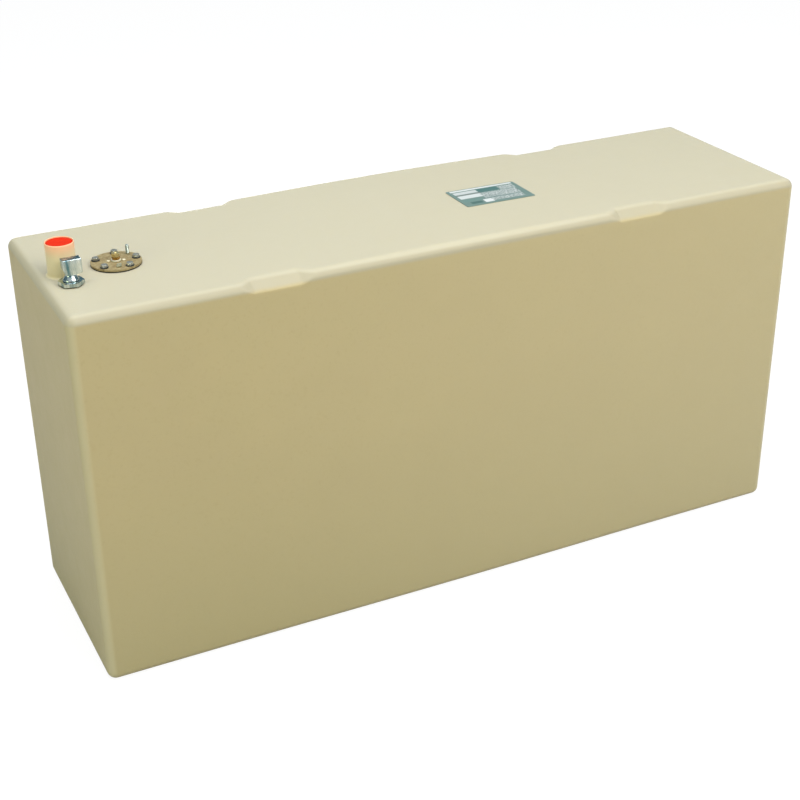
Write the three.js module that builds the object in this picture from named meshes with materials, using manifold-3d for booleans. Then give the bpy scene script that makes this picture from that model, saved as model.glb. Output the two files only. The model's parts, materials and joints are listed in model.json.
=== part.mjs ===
// Long upright water tank, a hollow moulding, with a filler neck, a draw fitting with a dip tube
// and a float level sender grouped at one end of its top. Millimetres, +Z up, origin at the middle
// of the base. X runs along the tank, the fittings are at its -X end, and the long front faces -Y.
import * as THREE from 'three';
import { mergeVertices } from 'three/addons/utils/BufferGeometryUtils.js';
import Module from 'manifold-3d';

const wasm = await Module();
wasm.setup();

// ---- Driving dimensions --------------------------------------------------------------------------
const GAP = 0.3; // clearance kept between pieces that touch

const TANK = { length: 1105, width: 316, height: 544, wall: 7, edgeRadius: 13 };
const BOW = { reach: 390, rise: 3, bulge: 2 }; // the middle of the tank swells up and out a little
const STRAP = { at: 277, floor: 66, mouth: 94, back: 21, down: 13.5, depth: 6.4 };

const NECK = { x: -517, y: -11.5, height: 45, radius: 19, fillet: 3.5, bore: 16.2 };
const NECK_RIM = { radius: 17.6, depth: 3 }; // the counterbore that the plug's head sits in
const PLUG = {
  head: 17.3,
  headThick: 1.5,
  sunk: 1.2,
  topRadius: 15.9,
  tipRadius: 15.2,
  length: 24,
  wall: 1.6,
  notch: 2,
};

const DRAW = { x: -516, y: -51.5, turn: -14 };
const BUSHING = { corner: 17, hexHeight: 5, shank: 10.2, bore: 8.3, below: 16 };
const SEAL_THICK = 1;
const INSERT = { outer: 14, inner: 10.5, below: 13.3, collar: 18, collarThick: 3 };
const ELBOW = {
  left: -9.8,
  right: 14.6,
  width: 13.5,
  top: 35.3,
  blockBottom: 16.4,
  collar: 10.5,
  stem: 6.6,
  bore: 3.5,
};
const ELBOW_PORT = { radius: 4.8, depth: 16, height: 26 };
const DIP = { outer: 5, inner: 3.6, top: 7, bottom: 34 };
const STRAINER = { outer: 6.8, wall: 1.2, bottom: 12, height: 34, slots: 6, slotWidth: 2.4 };

const SENDER = { x: -445, y: -9, radius: 33.5, boltCircle: 27, opening: 21, hole: 2.8 };
const SCREW_ANGLES = [153, -140, -65, -2, 79];
const GASKET = { inner: 20, thick: 1.2 };
const FLANGE_THICK = 2.3;
const MOUNT_RING = { inner: 21.6, outer: 32, thick: 3.5, split: 12 };
const SCREW = { corner: 4.7, head: 3.2, shank: 2.4, below: 12.5 };
const WASHER = { outer: 5.5, thick: 0.9 };
const STUD = { radius: 2.1, top: 16.6, below: 9 };
const BUSH = { sleeve: 4, collar: 6.5, collarThick: 1.5, bore: 2.4 };
const INSULATOR = { radius: 6.5, thick: 1.8 };
const NUTS = { corner: 5.5, heights: [3.3, 5.2] };
const GROUND_STUD = { x: 20.5, y: 16.5, radius: 2.4, top: 17 };
const GROUND_TAB = { x: -2.8, y: -22.3, width: 6.3, thick: 0.8, foot: 5, height: 5 };
const RIVETS = [[-9.6, 2.4], [9.8, -2]];
const RIVET = { head: 2.7, dome: 1.2, shank: 1.5, hole: 1.8 };

const ARM = { reach: 320, empty: -48, swing: 96, wire: 1.5, bend: 8, plane: -29 };
const PIVOT_HEIGHT = 274;
const BRACKET = { footHalf: 13.5, footFront: -10, footBack: 7, thick: 1.8, legWidth: 14, legEnd: 260 };
const HOUSING = { halfWidth: 19, below: 16, above: 28, front: -25, back: -11.1, wall: 1.6 };
const COVER_THICK = 1.6;
const CARD = { halfWidth: 15, from: 5, to: 24, front: -13.9, thick: 0.8 };
const PIN = { radius: 2, front: -34, head: 3.6, headThick: 1.2 };
const HUB = { radius: 6, front: -31.4, back: -15.3 };
const WIPER = { thick: 0.7, length: 17, width: 4 };
const FLOAT = { radius: 15, length: 44 };
const CLIP = { outer: 4.2, thick: 1 };
const LEAD = { radius: 1 };

const LABEL = { x: 115, y: -8.3, length: 112, width: 67.5, thick: 0.5 };

const TOP = TANK.height;
const NECK_TOP = TOP + NECK.height;
const GASKET_BASE = TOP + GAP;
const FLANGE_BASE = GASKET_BASE + GASKET.thick + GAP;
const FLANGE_TOP = FLANGE_BASE + FLANGE_THICK;
const HEX_BASE = TOP + SEAL_THICK + 2 * GAP;
const INNER_TOP = TOP - TANK.wall;

// ---- Materials -----------------------------------------------------------------------------------
function finish(name, color, roughness, metalness) {
  return new THREE.MeshStandardMaterial({ name, color, roughness, metalness });
}
const polyethylene = finish('polyethylene', 0xd2c8a4, 0.62, 0);
const redPlastic = finish('red_plastic', 0xf0432a, 0.45, 0);
const zincPlate = finish('zinc_plate', 0xb9c2c4, 0.25, 1);
const yellowZinc = finish('yellow_zinc', 0xa89a78, 0.55, 0.7);
const steel = finish('steel', 0x9a9d9c, 0.4, 1);
const brass = finish('brass', 0xb08d4a, 0.35, 1);
const rubber = finish('rubber', 0x25231f, 0.8, 0);
const whitePlastic = finish('white_plastic', 0xe6e2d2, 0.5, 0);
const blackPlastic = finish('black_plastic', 0x1e1f21, 0.5, 0);
const ceramicCard = finish('ceramic_card', 0xd8d4c8, 0.5, 0);
const aluminium = finish('aluminium', 0xb4b6b6, 0.35, 1);
const leadSleeve = finish('lead_sleeve', 0xc23a2b, 0.55, 0);
const labelFoil = finish('label_foil', 0x8fa39c, 0.35, 0.3);

// ---- Solids: closed meshes that can be joined and cut ---------------------------------------------
function signedVolume(positions, triangles) {
  let total = 0;
  const a = new THREE.Vector3();
  const b = new THREE.Vector3();
  const c = new THREE.Vector3();
  for (let i = 0; i < triangles.length; i += 3) {
    a.fromArray(positions, 3 * triangles[i]);
    b.fromArray(positions, 3 * triangles[i + 1]);
    c.fromArray(positions, 3 * triangles[i + 2]);
    total += a.dot(b.cross(c));
  }
  return total;
}

// Turns a three.js geometry into a solid: shared vertices are merged, slivers dropped, faces outward.
function solid(geometry) {
  const bare = geometry.clone();
  bare.deleteAttribute('normal');
  bare.deleteAttribute('uv');
  const merged = mergeVertices(bare);
  const positions = merged.attributes.position.array;
  const index = merged.index.array;
  const triangles = [];
  for (let i = 0; i < index.length; i += 3) {
    const [a, b, c] = [index[i], index[i + 1], index[i + 2]];
    if (a !== b && b !== c && c !== a) triangles.push(a, b, c);
  }
  if (signedVolume(positions, triangles) < 0) triangles.reverse();
  const mesh = new wasm.Mesh({
    numProp: 3,
    vertProperties: new Float32Array(positions),
    triVerts: new Uint32Array(triangles),
  });
  return new wasm.Manifold(mesh);
}

function piece(name, body, material) {
  const mesh = body.getMesh();
  const geometry = new THREE.BufferGeometry();
  geometry.setAttribute('position', new THREE.BufferAttribute(new Float32Array(mesh.vertProperties), 3));
  geometry.setIndex(new THREE.BufferAttribute(new Uint32Array(mesh.triVerts), 1));
  geometry.computeVertexNormals();
  const made = new THREE.Mesh(geometry, material);
  made.name = name;
  return made;
}

// A body of revolution about a vertical axis at x, y from [radius, height] points.
function turned(points, x = 0, y = 0, segments = 24) {
  const profile = points.map(([radius, height]) => new THREE.Vector2(radius, height));
  const geometry = new THREE.LatheGeometry(profile, segments);
  geometry.rotateX(Math.PI / 2);
  geometry.translate(x, y, 0);
  return solid(geometry);
}

function rod(radius, low, high, x = 0, y = 0, segments = 16) {
  return turned([[0, low], [radius, low], [radius, high], [0, high]], x, y, segments);
}

function ring(inner, outer, low, high, x = 0, y = 0, segments = 24) {
  return turned([[inner, low], [outer, low], [outer, high], [inner, high], [inner, low]], x, y, segments);
}

// A rod along Y from near to far.
function crossRod(radius, near, far, x, z, segments = 16) {
  const geometry = new THREE.CylinderGeometry(radius, radius, far - near, segments);
  geometry.translate(x, (near + far) / 2, z);
  return solid(geometry);
}

function block(low, high) {
  const size = high.map((value, axis) => value - low[axis]);
  const geometry = new THREE.BoxGeometry(...size);
  geometry.translate(...low.map((value, axis) => value + size[axis] / 2));
  return solid(geometry);
}

// A hexagon head or nut with its upper corners turned off round.
function hexagon(corner, low, high, x, y, turnDegrees) {
  const prism = new THREE.CylinderGeometry(corner, corner, high - low, 6);
  prism.rotateX(Math.PI / 2);
  prism.rotateZ(THREE.MathUtils.degToRad(turnDegrees + 30));
  prism.translate(x, y, (low + high) / 2);
  const flat = corner * Math.cos(Math.PI / 6);
  const outline = [[0, low], [corner + 1, low], [corner + 1, high - 0.8], [flat, high], [0, high]];
  return solid(prism).intersect(turned(outline, x, y));
}

// A curve that visits listed points in turn, so a straight stretch is one step.
class ListedCurve extends THREE.Curve {
  constructor(points) {
    super();
    this.points = points;
  }

  getPoint(t, target = new THREE.Vector3()) {
    const last = this.points.length - 1;
    const place = Math.min(Math.max(t, 0), 1) * last;
    const step = Math.min(Math.floor(place), last - 1);
    return target.lerpVectors(this.points[step], this.points[step + 1], place - step);
  }

  getPointAt(u, target) {
    return this.getPoint(u, target);
  }

  getTangentAt(u, target) {
    return this.getTangent(u, target);
  }
}

function wire(points, radius, sides = 8) {
  const section = new THREE.Shape();
  section.absarc(0, 0, radius, 0, 2 * Math.PI, false);
  const geometry = new THREE.ExtrudeGeometry(section, {
    steps: points.length - 1,
    curveSegments: sides / 2,
    extrudePath: new ListedCurve(points),
  });
  return solid(geometry);
}

// Points round a corner of a bent wire.
function bendPoints(before, corner, after, radius, steps = 5) {
  const from = corner.clone().add(before.clone().sub(corner).setLength(radius));
  const to = corner.clone().add(after.clone().sub(corner).setLength(radius));
  return new THREE.QuadraticBezierCurve3(from, corner, to).getPoints(steps);
}

// ---- The moulded tank ----------------------------------------------------------------------------
// How much of the swell is reached at x: 1 in the middle of the tank and 0 near its ends.
function swell(x) {
  return Math.abs(x) < BOW.reach ? Math.cos((Math.PI / 2) * (x / BOW.reach)) ** 2 : 0;
}

function bow(geometry) {
  const position = geometry.attributes.position;
  for (let i = 0; i < position.count; i += 1) {
    const amount = swell(position.getX(i));
    position.setY(i, position.getY(i) * (1 + (2 * BOW.bulge * amount) / TANK.width));
    position.setZ(i, position.getZ(i) * (1 + (BOW.rise * amount) / TANK.height));
  }
  return geometry;
}

// The tank's outline pulled in by inset all round: a box with every edge rounded.
function tankForm(inset) {
  const round = TANK.edgeRadius - inset;
  const cornerArc = 3;
  const bevel = round - cornerArc;
  const halfWidth = TANK.width / 2 - inset - bevel;
  const halfHeight = TANK.height / 2 - inset - bevel;
  const section = new THREE.Shape();
  section.absarc(halfWidth - cornerArc, halfHeight - cornerArc, cornerArc, 0, Math.PI / 2);
  section.absarc(cornerArc - halfWidth, halfHeight - cornerArc, cornerArc, Math.PI / 2, Math.PI);
  section.absarc(cornerArc - halfWidth, cornerArc - halfHeight, cornerArc, Math.PI, 1.5 * Math.PI);
  section.absarc(halfWidth - cornerArc, cornerArc - halfHeight, cornerArc, 1.5 * Math.PI, 2 * Math.PI);
  const depth = TANK.length - 2 * inset - 2 * round;
  const geometry = new THREE.ExtrudeGeometry(section, {
    depth,
    steps: 12,
    curveSegments: 2,
    bevelThickness: round,
    bevelSize: bevel,
    bevelSegments: 3,
  });
  const alongX = new THREE.Matrix4().makeBasis(
    new THREE.Vector3(0, 1, 0),
    new THREE.Vector3(0, 0, 1),
    new THREE.Vector3(1, 0, 0),
  );
  geometry.applyMatrix4(alongX);
  geometry.translate(-depth / 2, 0, TANK.height / 2);
  return solid(bow(geometry));
}

// A shallow seat for a strap, cut as a ramp across a long top edge. sink moves it into the tank.
function strapCutter(end, side, sink) {
  const reach = 20;
  const flare = (STRAP.mouth - STRAP.floor) / 2 / STRAP.depth;
  const half = STRAP.floor / 2 + sink;
  const outline = new THREE.Shape();
  outline.moveTo(-half, 0);
  outline.lineTo(half, 0);
  outline.lineTo(half + flare * reach, reach);
  outline.lineTo(-half - flare * reach, reach);
  outline.closePath();
  const length = 80;
  const geometry = new THREE.ExtrudeGeometry(outline, { depth: length, bevelEnabled: false });
  geometry.translate(0, -sink, -length / 2);
  const slope = Math.atan2(STRAP.down, STRAP.back);
  const normal = new THREE.Vector3(0, side * Math.sin(slope), Math.cos(slope));
  const along = new THREE.Vector3(1, 0, 0);
  const across = new THREE.Vector3().crossVectors(along, normal);
  geometry.applyMatrix4(new THREE.Matrix4().makeBasis(along, normal, across));
  const rise = swell(STRAP.at);
  geometry.translate(
    end * STRAP.at,
    side * (TANK.width / 2 - STRAP.back / 2 + BOW.bulge * rise),
    TOP - STRAP.down / 2 + BOW.rise * rise,
  );
  return solid(geometry);
}

function withStrapSeats(form, sink) {
  let result = form;
  for (const end of [-1, 1]) {
    for (const side of [-1, 1]) result = result.subtract(strapCutter(end, side, sink));
  }
  return result;
}

// The neck is a turned tube, spin-welded over the hole in the top, with a fillet at its foot.
function fillerNeck() {
  const foot = NECK.radius + NECK.fillet;
  const base = TOP + GAP;
  const mouth = NECK_TOP - NECK_RIM.depth;
  const profile = [[NECK.bore, base], [foot, base]];
  for (const degrees of [25, 45, 65, 90]) {
    const angle = THREE.MathUtils.degToRad(degrees);
    profile.push([foot - NECK.fillet * Math.sin(angle), base + NECK.fillet * (1 - Math.cos(angle))]);
  }
  profile.push(
    [NECK.radius, NECK_TOP - 0.7],
    [NECK.radius - 0.7, NECK_TOP],
    [NECK_RIM.radius, NECK_TOP],
    [NECK_RIM.radius, mouth],
    [NECK.bore, mouth],
    [NECK.bore, base],
  );
  return turned(profile, NECK.x, NECK.y, 32);
}

function screwPlace(degrees) {
  const angle = THREE.MathUtils.degToRad(degrees);
  return [SENDER.x + SENDER.boltCircle * Math.cos(angle), SENDER.y + SENDER.boltCircle * Math.sin(angle)];
}

// Takes a vertical hole out of a body at each screw.
function withScrewHoles(body, low, high) {
  let result = body;
  for (const degrees of SCREW_ANGLES) {
    const [x, y] = screwPlace(degrees);
    result = result.subtract(rod(SENDER.hole, low, high, x, y, 12));
  }
  return result;
}

function tankShell() {
  const outside = withStrapSeats(tankForm(0), 0);
  const inside = withStrapSeats(tankForm(TANK.wall), TANK.wall);
  const low = INNER_TOP - 1;
  const high = TOP + 1;
  const bored = outside
    .subtract(inside)
    .subtract(rod(NECK.bore, low, high, NECK.x, NECK.y, 32))
    .subtract(rod(SENDER.opening, low, high, SENDER.x, SENDER.y, 32))
    .subtract(rod(INSERT.outer + GAP, low, high, DRAW.x, DRAW.y, 24));
  return withScrewHoles(bored, low, high);
}

function labelPlate() {
  const geometry = new THREE.BoxGeometry(LABEL.length, LABEL.width, LABEL.thick, 8, 1, 1);
  geometry.translate(LABEL.x, LABEL.y, TOP + GAP + LABEL.thick / 2);
  return solid(bow(geometry));
}

// A press-in plug: a wide flat head on a tapered skirt that is open below, with a finger notch.
function fillPlug() {
  const top = NECK_TOP - PLUG.sunk;
  const under = top - PLUG.headThick;
  const tip = under - PLUG.length;
  const inside = PLUG.tipRadius - PLUG.wall;
  const profile = [
    [0, tip],
    [PLUG.tipRadius, tip],
    [PLUG.topRadius, under],
    [PLUG.head, under],
    [PLUG.head, top],
    [0, top],
  ];
  const notch = rod(PLUG.notch, under - 1, top + 1, NECK.x - PLUG.head, NECK.y, 12);
  return turned(profile, NECK.x, NECK.y)
    .subtract(rod(inside, tip - 1, under - PLUG.wall, NECK.x, NECK.y))
    .subtract(notch);
}

// ---- Draw fitting --------------------------------------------------------------------------------
function drawInsert() {
  const low = TOP - INSERT.below;
  const collarTop = INNER_TOP - GAP;
  const collarLow = collarTop - INSERT.collarThick;
  const profile = [
    [INSERT.inner, low],
    [INSERT.outer, low],
    [INSERT.outer, collarLow],
    [INSERT.collar, collarLow],
    [INSERT.collar, collarTop],
    [INSERT.outer, collarTop],
    [INSERT.outer, TOP],
    [INSERT.inner, TOP],
    [INSERT.inner, low],
  ];
  return turned(profile, DRAW.x, DRAW.y);
}

function drawSeal() {
  return ring(INSERT.inner, INSERT.outer, TOP + GAP, TOP + GAP + SEAL_THICK, DRAW.x, DRAW.y);
}

function drawBushing() {
  const low = TOP - BUSHING.below;
  const hex = hexagon(BUSHING.corner, HEX_BASE, HEX_BASE + BUSHING.hexHeight, DRAW.x, DRAW.y, DRAW.turn);
  const shank = rod(BUSHING.shank, low, HEX_BASE + 1, DRAW.x, DRAW.y);
  const socket = rod(BUSHING.bore, TOP - DIP.top + 1, HEX_BASE + BUSHING.hexHeight + 1, DRAW.x, DRAW.y);
  const tubeHole = rod(DIP.outer + GAP, low - 1, TOP - DIP.top + 2, DRAW.x, DRAW.y);
  return hex.add(shank).subtract(socket).subtract(tubeHole);
}

// A forged elbow: a round stem with a coned collar, and a square body with a threaded side port.
function drawElbow() {
  const foot = TOP - DIP.top + 1.5;
  const hexTop = HEX_BASE + BUSHING.hexHeight + GAP;
  const stem = turned([
    [0, foot],
    [BUSHING.bore - GAP, foot],
    [BUSHING.bore - GAP, hexTop],
    [ELBOW.collar, hexTop],
    [ELBOW.collar, hexTop + 1.5],
    [ELBOW.stem, hexTop + 7],
    [ELBOW.stem, TOP + ELBOW.blockBottom + 3],
    [0, TOP + ELBOW.blockBottom + 3],
  ], DRAW.x, DRAW.y);
  const side = new THREE.Shape();
  side.moveTo(ELBOW.left + 3, TOP + ELBOW.blockBottom - 2);
  side.lineTo(ELBOW.left, TOP + ELBOW.blockBottom + 6);
  side.lineTo(ELBOW.left, TOP + ELBOW.top);
  side.lineTo(ELBOW.right, TOP + ELBOW.top);
  side.lineTo(ELBOW.right, TOP + ELBOW.blockBottom);
  side.lineTo(ELBOW.stem - 1, TOP + ELBOW.blockBottom - 2);
  side.closePath();
  const slab = new THREE.ExtrudeGeometry(side, { depth: ELBOW.width, bevelEnabled: false });
  slab.rotateX(Math.PI / 2);
  slab.translate(DRAW.x, DRAW.y + ELBOW.width / 2, 0);
  const passage = rod(ELBOW.bore, foot - 1, TOP + ELBOW_PORT.height, DRAW.x, DRAW.y);
  const portMouth = DRAW.x + ELBOW.right;
  const port = new THREE.CylinderGeometry(ELBOW_PORT.radius, ELBOW_PORT.radius, ELBOW_PORT.depth + 1, 16);
  port.rotateZ(Math.PI / 2);
  port.translate(portMouth + 1 - (ELBOW_PORT.depth + 1) / 2, DRAW.y, TOP + ELBOW_PORT.height);
  return stem.add(solid(slab)).subtract(passage).subtract(solid(port));
}

function dipTube() {
  return ring(DIP.inner, DIP.outer, DIP.bottom, TOP - DIP.top, DRAW.x, DRAW.y, 24);
}

// A slotted cup on the tube's foot that keeps grit out of the pump.
function dipStrainer() {
  const high = STRAINER.bottom + STRAINER.height;
  let cup = rod(STRAINER.outer, STRAINER.bottom, high, DRAW.x, DRAW.y)
    .subtract(rod(STRAINER.outer - STRAINER.wall, STRAINER.bottom + 2, high - 5, DRAW.x, DRAW.y))
    .subtract(rod(DIP.outer + GAP, high - 6, high + 1, DRAW.x, DRAW.y));
  for (let i = 0; i < STRAINER.slots / 2; i += 1) {
    const slot = new THREE.BoxGeometry(4 * STRAINER.outer, STRAINER.slotWidth, STRAINER.height - 16);
    slot.rotateZ((Math.PI / STRAINER.slots) * 2 * i);
    slot.translate(DRAW.x, DRAW.y, STRAINER.bottom + 4 + (STRAINER.height - 16) / 2);
    cup = cup.subtract(solid(slot));
  }
  return cup;
}

// ---- Level sender: what shows on top --------------------------------------------------------------
function senderGasket() {
  const high = GASKET_BASE + GASKET.thick;
  const pad = ring(GASKET.inner, SENDER.radius, GASKET_BASE, high, SENDER.x, SENDER.y, 36);
  return withScrewHoles(pad, GASKET_BASE - 1, FLANGE_BASE);
}

function senderFlange() {
  const disc = ring(BUSH.sleeve + GAP, SENDER.radius, FLANGE_BASE, FLANGE_TOP, SENDER.x, SENDER.y, 36);
  let plate = withScrewHoles(disc, FLANGE_BASE - 1, FLANGE_TOP + 1);
  for (const [x, y] of RIVETS) {
    plate = plate.subtract(rod(RIVET.hole, FLANGE_BASE - 1, FLANGE_TOP + 1, SENDER.x + x, SENDER.y + y, 12));
  }
  const studHole = rod(
    GROUND_STUD.radius + GAP,
    FLANGE_BASE - 1,
    FLANGE_TOP + 1,
    SENDER.x + GROUND_STUD.x,
    SENDER.y + GROUND_STUD.y,
    16,
  );
  return plate.subtract(studHole);
}

// A split ring under the tank's wall that the screws pull up against.
function senderMountRing() {
  const high = INNER_TOP - GAP;
  const low = high - MOUNT_RING.thick;
  const whole = ring(MOUNT_RING.inner, MOUNT_RING.outer, low, high, SENDER.x, SENDER.y, 36);
  const split = new THREE.BoxGeometry(MOUNT_RING.outer, MOUNT_RING.split, 3 * MOUNT_RING.thick);
  split.translate(MOUNT_RING.outer / 2 + MOUNT_RING.inner / 2, 0, low);
  split.rotateZ(THREE.MathUtils.degToRad((SCREW_ANGLES[3] + SCREW_ANGLES[4]) / 2));
  split.translate(SENDER.x, SENDER.y, 0);
  return withScrewHoles(whole.subtract(solid(split)), low - 1, high + 1);
}

function senderWasher(degrees) {
  const low = FLANGE_TOP + GAP;
  return ring(SENDER.hole, WASHER.outer, low, low + WASHER.thick, ...screwPlace(degrees), 16);
}

function senderScrew(degrees) {
  const [x, y] = screwPlace(degrees);
  const seat = FLANGE_TOP + 2 * GAP + WASHER.thick;
  const head = hexagon(SCREW.corner, seat, seat + SCREW.head, x, y, degrees * 2);
  return head.add(rod(SCREW.shank, TOP - SCREW.below, seat + 1, x, y, 14));
}

function terminalBush() {
  const low = FLANGE_BASE - GAP - BUSH.collarThick;
  return turned([
    [BUSH.bore, low],
    [BUSH.collar, low],
    [BUSH.collar, low + BUSH.collarThick],
    [BUSH.sleeve, low + BUSH.collarThick],
    [BUSH.sleeve, FLANGE_TOP],
    [BUSH.bore, FLANGE_TOP],
    [BUSH.bore, low],
  ], SENDER.x, SENDER.y);
}

function terminalInsulator() {
  const low = FLANGE_TOP + GAP;
  return ring(BUSH.bore, INSULATOR.radius, low, low + INSULATOR.thick, SENDER.x, SENDER.y);
}

function terminalNut(level) {
  const low = FLANGE_TOP + GAP + INSULATOR.thick + GAP + level * (NUTS.heights[0] + GAP);
  const high = low + NUTS.heights[level];
  return hexagon(NUTS.corner, low, high, SENDER.x, SENDER.y, 10 + 25 * level)
    .subtract(rod(BUSH.bore, low - 1, high + 1, SENDER.x, SENDER.y, 16));
}

function terminalStud() {
  const head = 3.6;
  return turned([
    [0, TOP - STUD.below],
    [head, TOP - STUD.below],
    [head, TOP - STUD.below + 2],
    [STUD.radius, TOP - STUD.below + 2],
    [STUD.radius, TOP + STUD.top - 0.8],
    [STUD.radius - 0.8, TOP + STUD.top],
    [0, TOP + STUD.top],
  ], SENDER.x, SENDER.y, 20);
}

// The earth post, staked into the flange with its foot flush below.
function groundStud() {
  const x = SENDER.x + GROUND_STUD.x;
  const y = SENDER.y + GROUND_STUD.y;
  return turned([
    [0, FLANGE_BASE],
    [GROUND_STUD.radius, FLANGE_BASE],
    [GROUND_STUD.radius, TOP + GROUND_STUD.top - 0.8],
    [GROUND_STUD.radius - 0.8, TOP + GROUND_STUD.top],
    [0, TOP + GROUND_STUD.top],
  ], x, y, 20);
}

// A folded push-on blade: a foot on the flange and a short upright.
function groundTab() {
  const x = SENDER.x + GROUND_TAB.x;
  const y = SENDER.y + GROUND_TAB.y;
  const half = GROUND_TAB.width / 2;
  const low = FLANGE_TOP + GAP;
  const front = y - GROUND_TAB.foot / 2;
  const back = y + GROUND_TAB.foot / 2;
  const foot = block([x - half, front, low], [x + half, back, low + GROUND_TAB.thick]);
  const blade = block([x - half, front, low], [x + half, front + GROUND_TAB.thick, low + GROUND_TAB.height]);
  return foot.add(blade).subtract(crossRod(0.9, front - 1, front + 2, x, low + 3.2, 12));
}

function bracketRivet([dx, dy]) {
  const low = FLANGE_BASE - GAP - BRACKET.thick;
  const seat = FLANGE_TOP + GAP;
  return turned([
    [0, low - GAP],
    [RIVET.shank, low - GAP],
    [RIVET.shank, seat],
    [RIVET.head, seat],
    [RIVET.head * 0.75, seat + RIVET.dome * 0.7],
    [0, seat + RIVET.dome],
  ], SENDER.x + dx, SENDER.y + dy, 16);
}

// ---- Level sender: what hangs inside --------------------------------------------------------------
// Y places below are measured from the sender's middle.
const depthOf = (y) => SENDER.y + y;

function dropBracket() {
  const footHigh = FLANGE_BASE - GAP;
  const footLow = footHigh - BRACKET.thick;
  const front = depthOf(BRACKET.footFront);
  const foot = block(
    [SENDER.x - BRACKET.footHalf, front, footLow],
    [SENDER.x + BRACKET.footHalf, depthOf(BRACKET.footBack), footHigh],
  );
  const half = BRACKET.legWidth / 2;
  const leg = block(
    [SENDER.x - half, front, BRACKET.legEnd],
    [SENDER.x + half, front + BRACKET.thick, footHigh],
  );
  const bushHole = rod(BUSH.collar + GAP, footLow - 1, footHigh + 1, SENDER.x, SENDER.y, 24);
  let bracket = foot.add(leg).subtract(bushHole);
  for (const [dx, dy] of RIVETS) {
    bracket = bracket.subtract(rod(RIVET.hole, footLow - 1, footHigh + 1, SENDER.x + dx, SENDER.y + dy, 12));
  }
  return bracket.subtract(crossRod(PIN.radius + GAP, front - 1, front + 3, SENDER.x, PIVOT_HEIGHT, 16));
}

// The tray that holds the resistor, open towards the float arm.
function resistorHousing() {
  const low = [SENDER.x - HOUSING.halfWidth, depthOf(HOUSING.front), PIVOT_HEIGHT - HOUSING.below];
  const high = [SENDER.x + HOUSING.halfWidth, depthOf(HOUSING.back), PIVOT_HEIGHT + HOUSING.above];
  const wall = HOUSING.wall;
  const hollow = block(
    [low[0] + wall, low[1] - 1, low[2] + wall],
    [high[0] - wall, high[1] - wall, high[2] - wall],
  );
  const pinHole = crossRod(PIN.radius + GAP, low[1], high[1] + 1, SENDER.x, PIVOT_HEIGHT, 16);
  const leadHole = rod(LEAD.radius + GAP, high[2] - 3, high[2] + 1, SENDER.x + 10, depthOf(-17), 12);
  return block(low, high).subtract(hollow).subtract(pinHole).subtract(leadHole);
}

function resistorCover() {
  const back = depthOf(HOUSING.front) - GAP;
  const plate = block(
    [SENDER.x - HOUSING.halfWidth, back - COVER_THICK, PIVOT_HEIGHT - HOUSING.below],
    [SENDER.x + HOUSING.halfWidth, back, PIVOT_HEIGHT + HOUSING.above],
  );
  return plate.subtract(crossRod(HUB.radius + 0.6, back - 3, back + 1, SENDER.x, PIVOT_HEIGHT, 24));
}

function resistorCard() {
  const front = depthOf(CARD.front);
  return block(
    [SENDER.x - CARD.halfWidth, front, PIVOT_HEIGHT + CARD.from],
    [SENDER.x + CARD.halfWidth, front + CARD.thick, PIVOT_HEIGHT + CARD.to],
  );
}

function pivotPin() {
  const seat = depthOf(BRACKET.footFront) + BRACKET.thick + GAP;
  return crossRod(PIN.radius, depthOf(PIN.front), seat + 0.5, SENDER.x, PIVOT_HEIGHT, 16)
    .add(crossRod(PIN.head, seat, seat + PIN.headThick, SENDER.x, PIVOT_HEIGHT, 20));
}

function pushClip(bore, front, x, z) {
  return crossRod(CLIP.outer, front, front + CLIP.thick, x, z, 20)
    .subtract(crossRod(bore, front - 1, front + CLIP.thick + 1, x, z, 16));
}

// The arm at rest lies on its lower stop, with the tank empty.
const armAngle = THREE.MathUtils.degToRad(ARM.empty);
const alongArm = new THREE.Vector3(Math.cos(armAngle), 0, Math.sin(armAngle));
const pivot = new THREE.Vector3(SENDER.x, depthOf(ARM.plane), PIVOT_HEIGHT);
const floatPlace = pivot.clone().addScaledVector(alongArm, ARM.reach);
const floatFront = pivot.y - ARM.bend - 2 - FLOAT.length;

function armHub() {
  const front = depthOf(HUB.front);
  const back = depthOf(HUB.back);
  const body = crossRod(HUB.radius, front, back, SENDER.x, PIVOT_HEIGHT, 24)
    .subtract(crossRod(PIN.radius + GAP, front - 1, back + 1, SENDER.x, PIVOT_HEIGHT, 16));
  const hole = new THREE.CylinderGeometry(ARM.wire + GAP, ARM.wire + GAP, 6, 14);
  hole.rotateZ(-Math.PI / 2);
  hole.translate(3 + PIN.radius + 1, 0, 0);
  hole.rotateY(-armAngle);
  hole.translate(pivot.x, pivot.y, pivot.z);
  return body.subtract(solid(hole));
}

function wiper() {
  const back = depthOf(HUB.back) + GAP + WIPER.thick;
  const disc = crossRod(HUB.radius - 0.5, back - WIPER.thick, back, SENDER.x, PIVOT_HEIGHT, 24);
  const finger = new THREE.BoxGeometry(WIPER.length, WIPER.thick, WIPER.width);
  finger.translate(WIPER.length / 2, 0, 0);
  finger.rotateY(-armAngle - Math.PI / 2);
  finger.translate(SENDER.x, back - WIPER.thick / 2, PIVOT_HEIGHT);
  return disc.add(solid(finger))
    .subtract(crossRod(PIN.radius + GAP, back - 3, back + 3, SENDER.x, PIVOT_HEIGHT, 16));
}

function floatArm() {
  const start = pivot.clone().addScaledVector(alongArm, PIN.radius + 1.4);
  const end = floatPlace.clone().setY(floatFront - 4);
  return wire([start, ...bendPoints(start, floatPlace, end, ARM.bend), end], ARM.wire);
}

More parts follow.
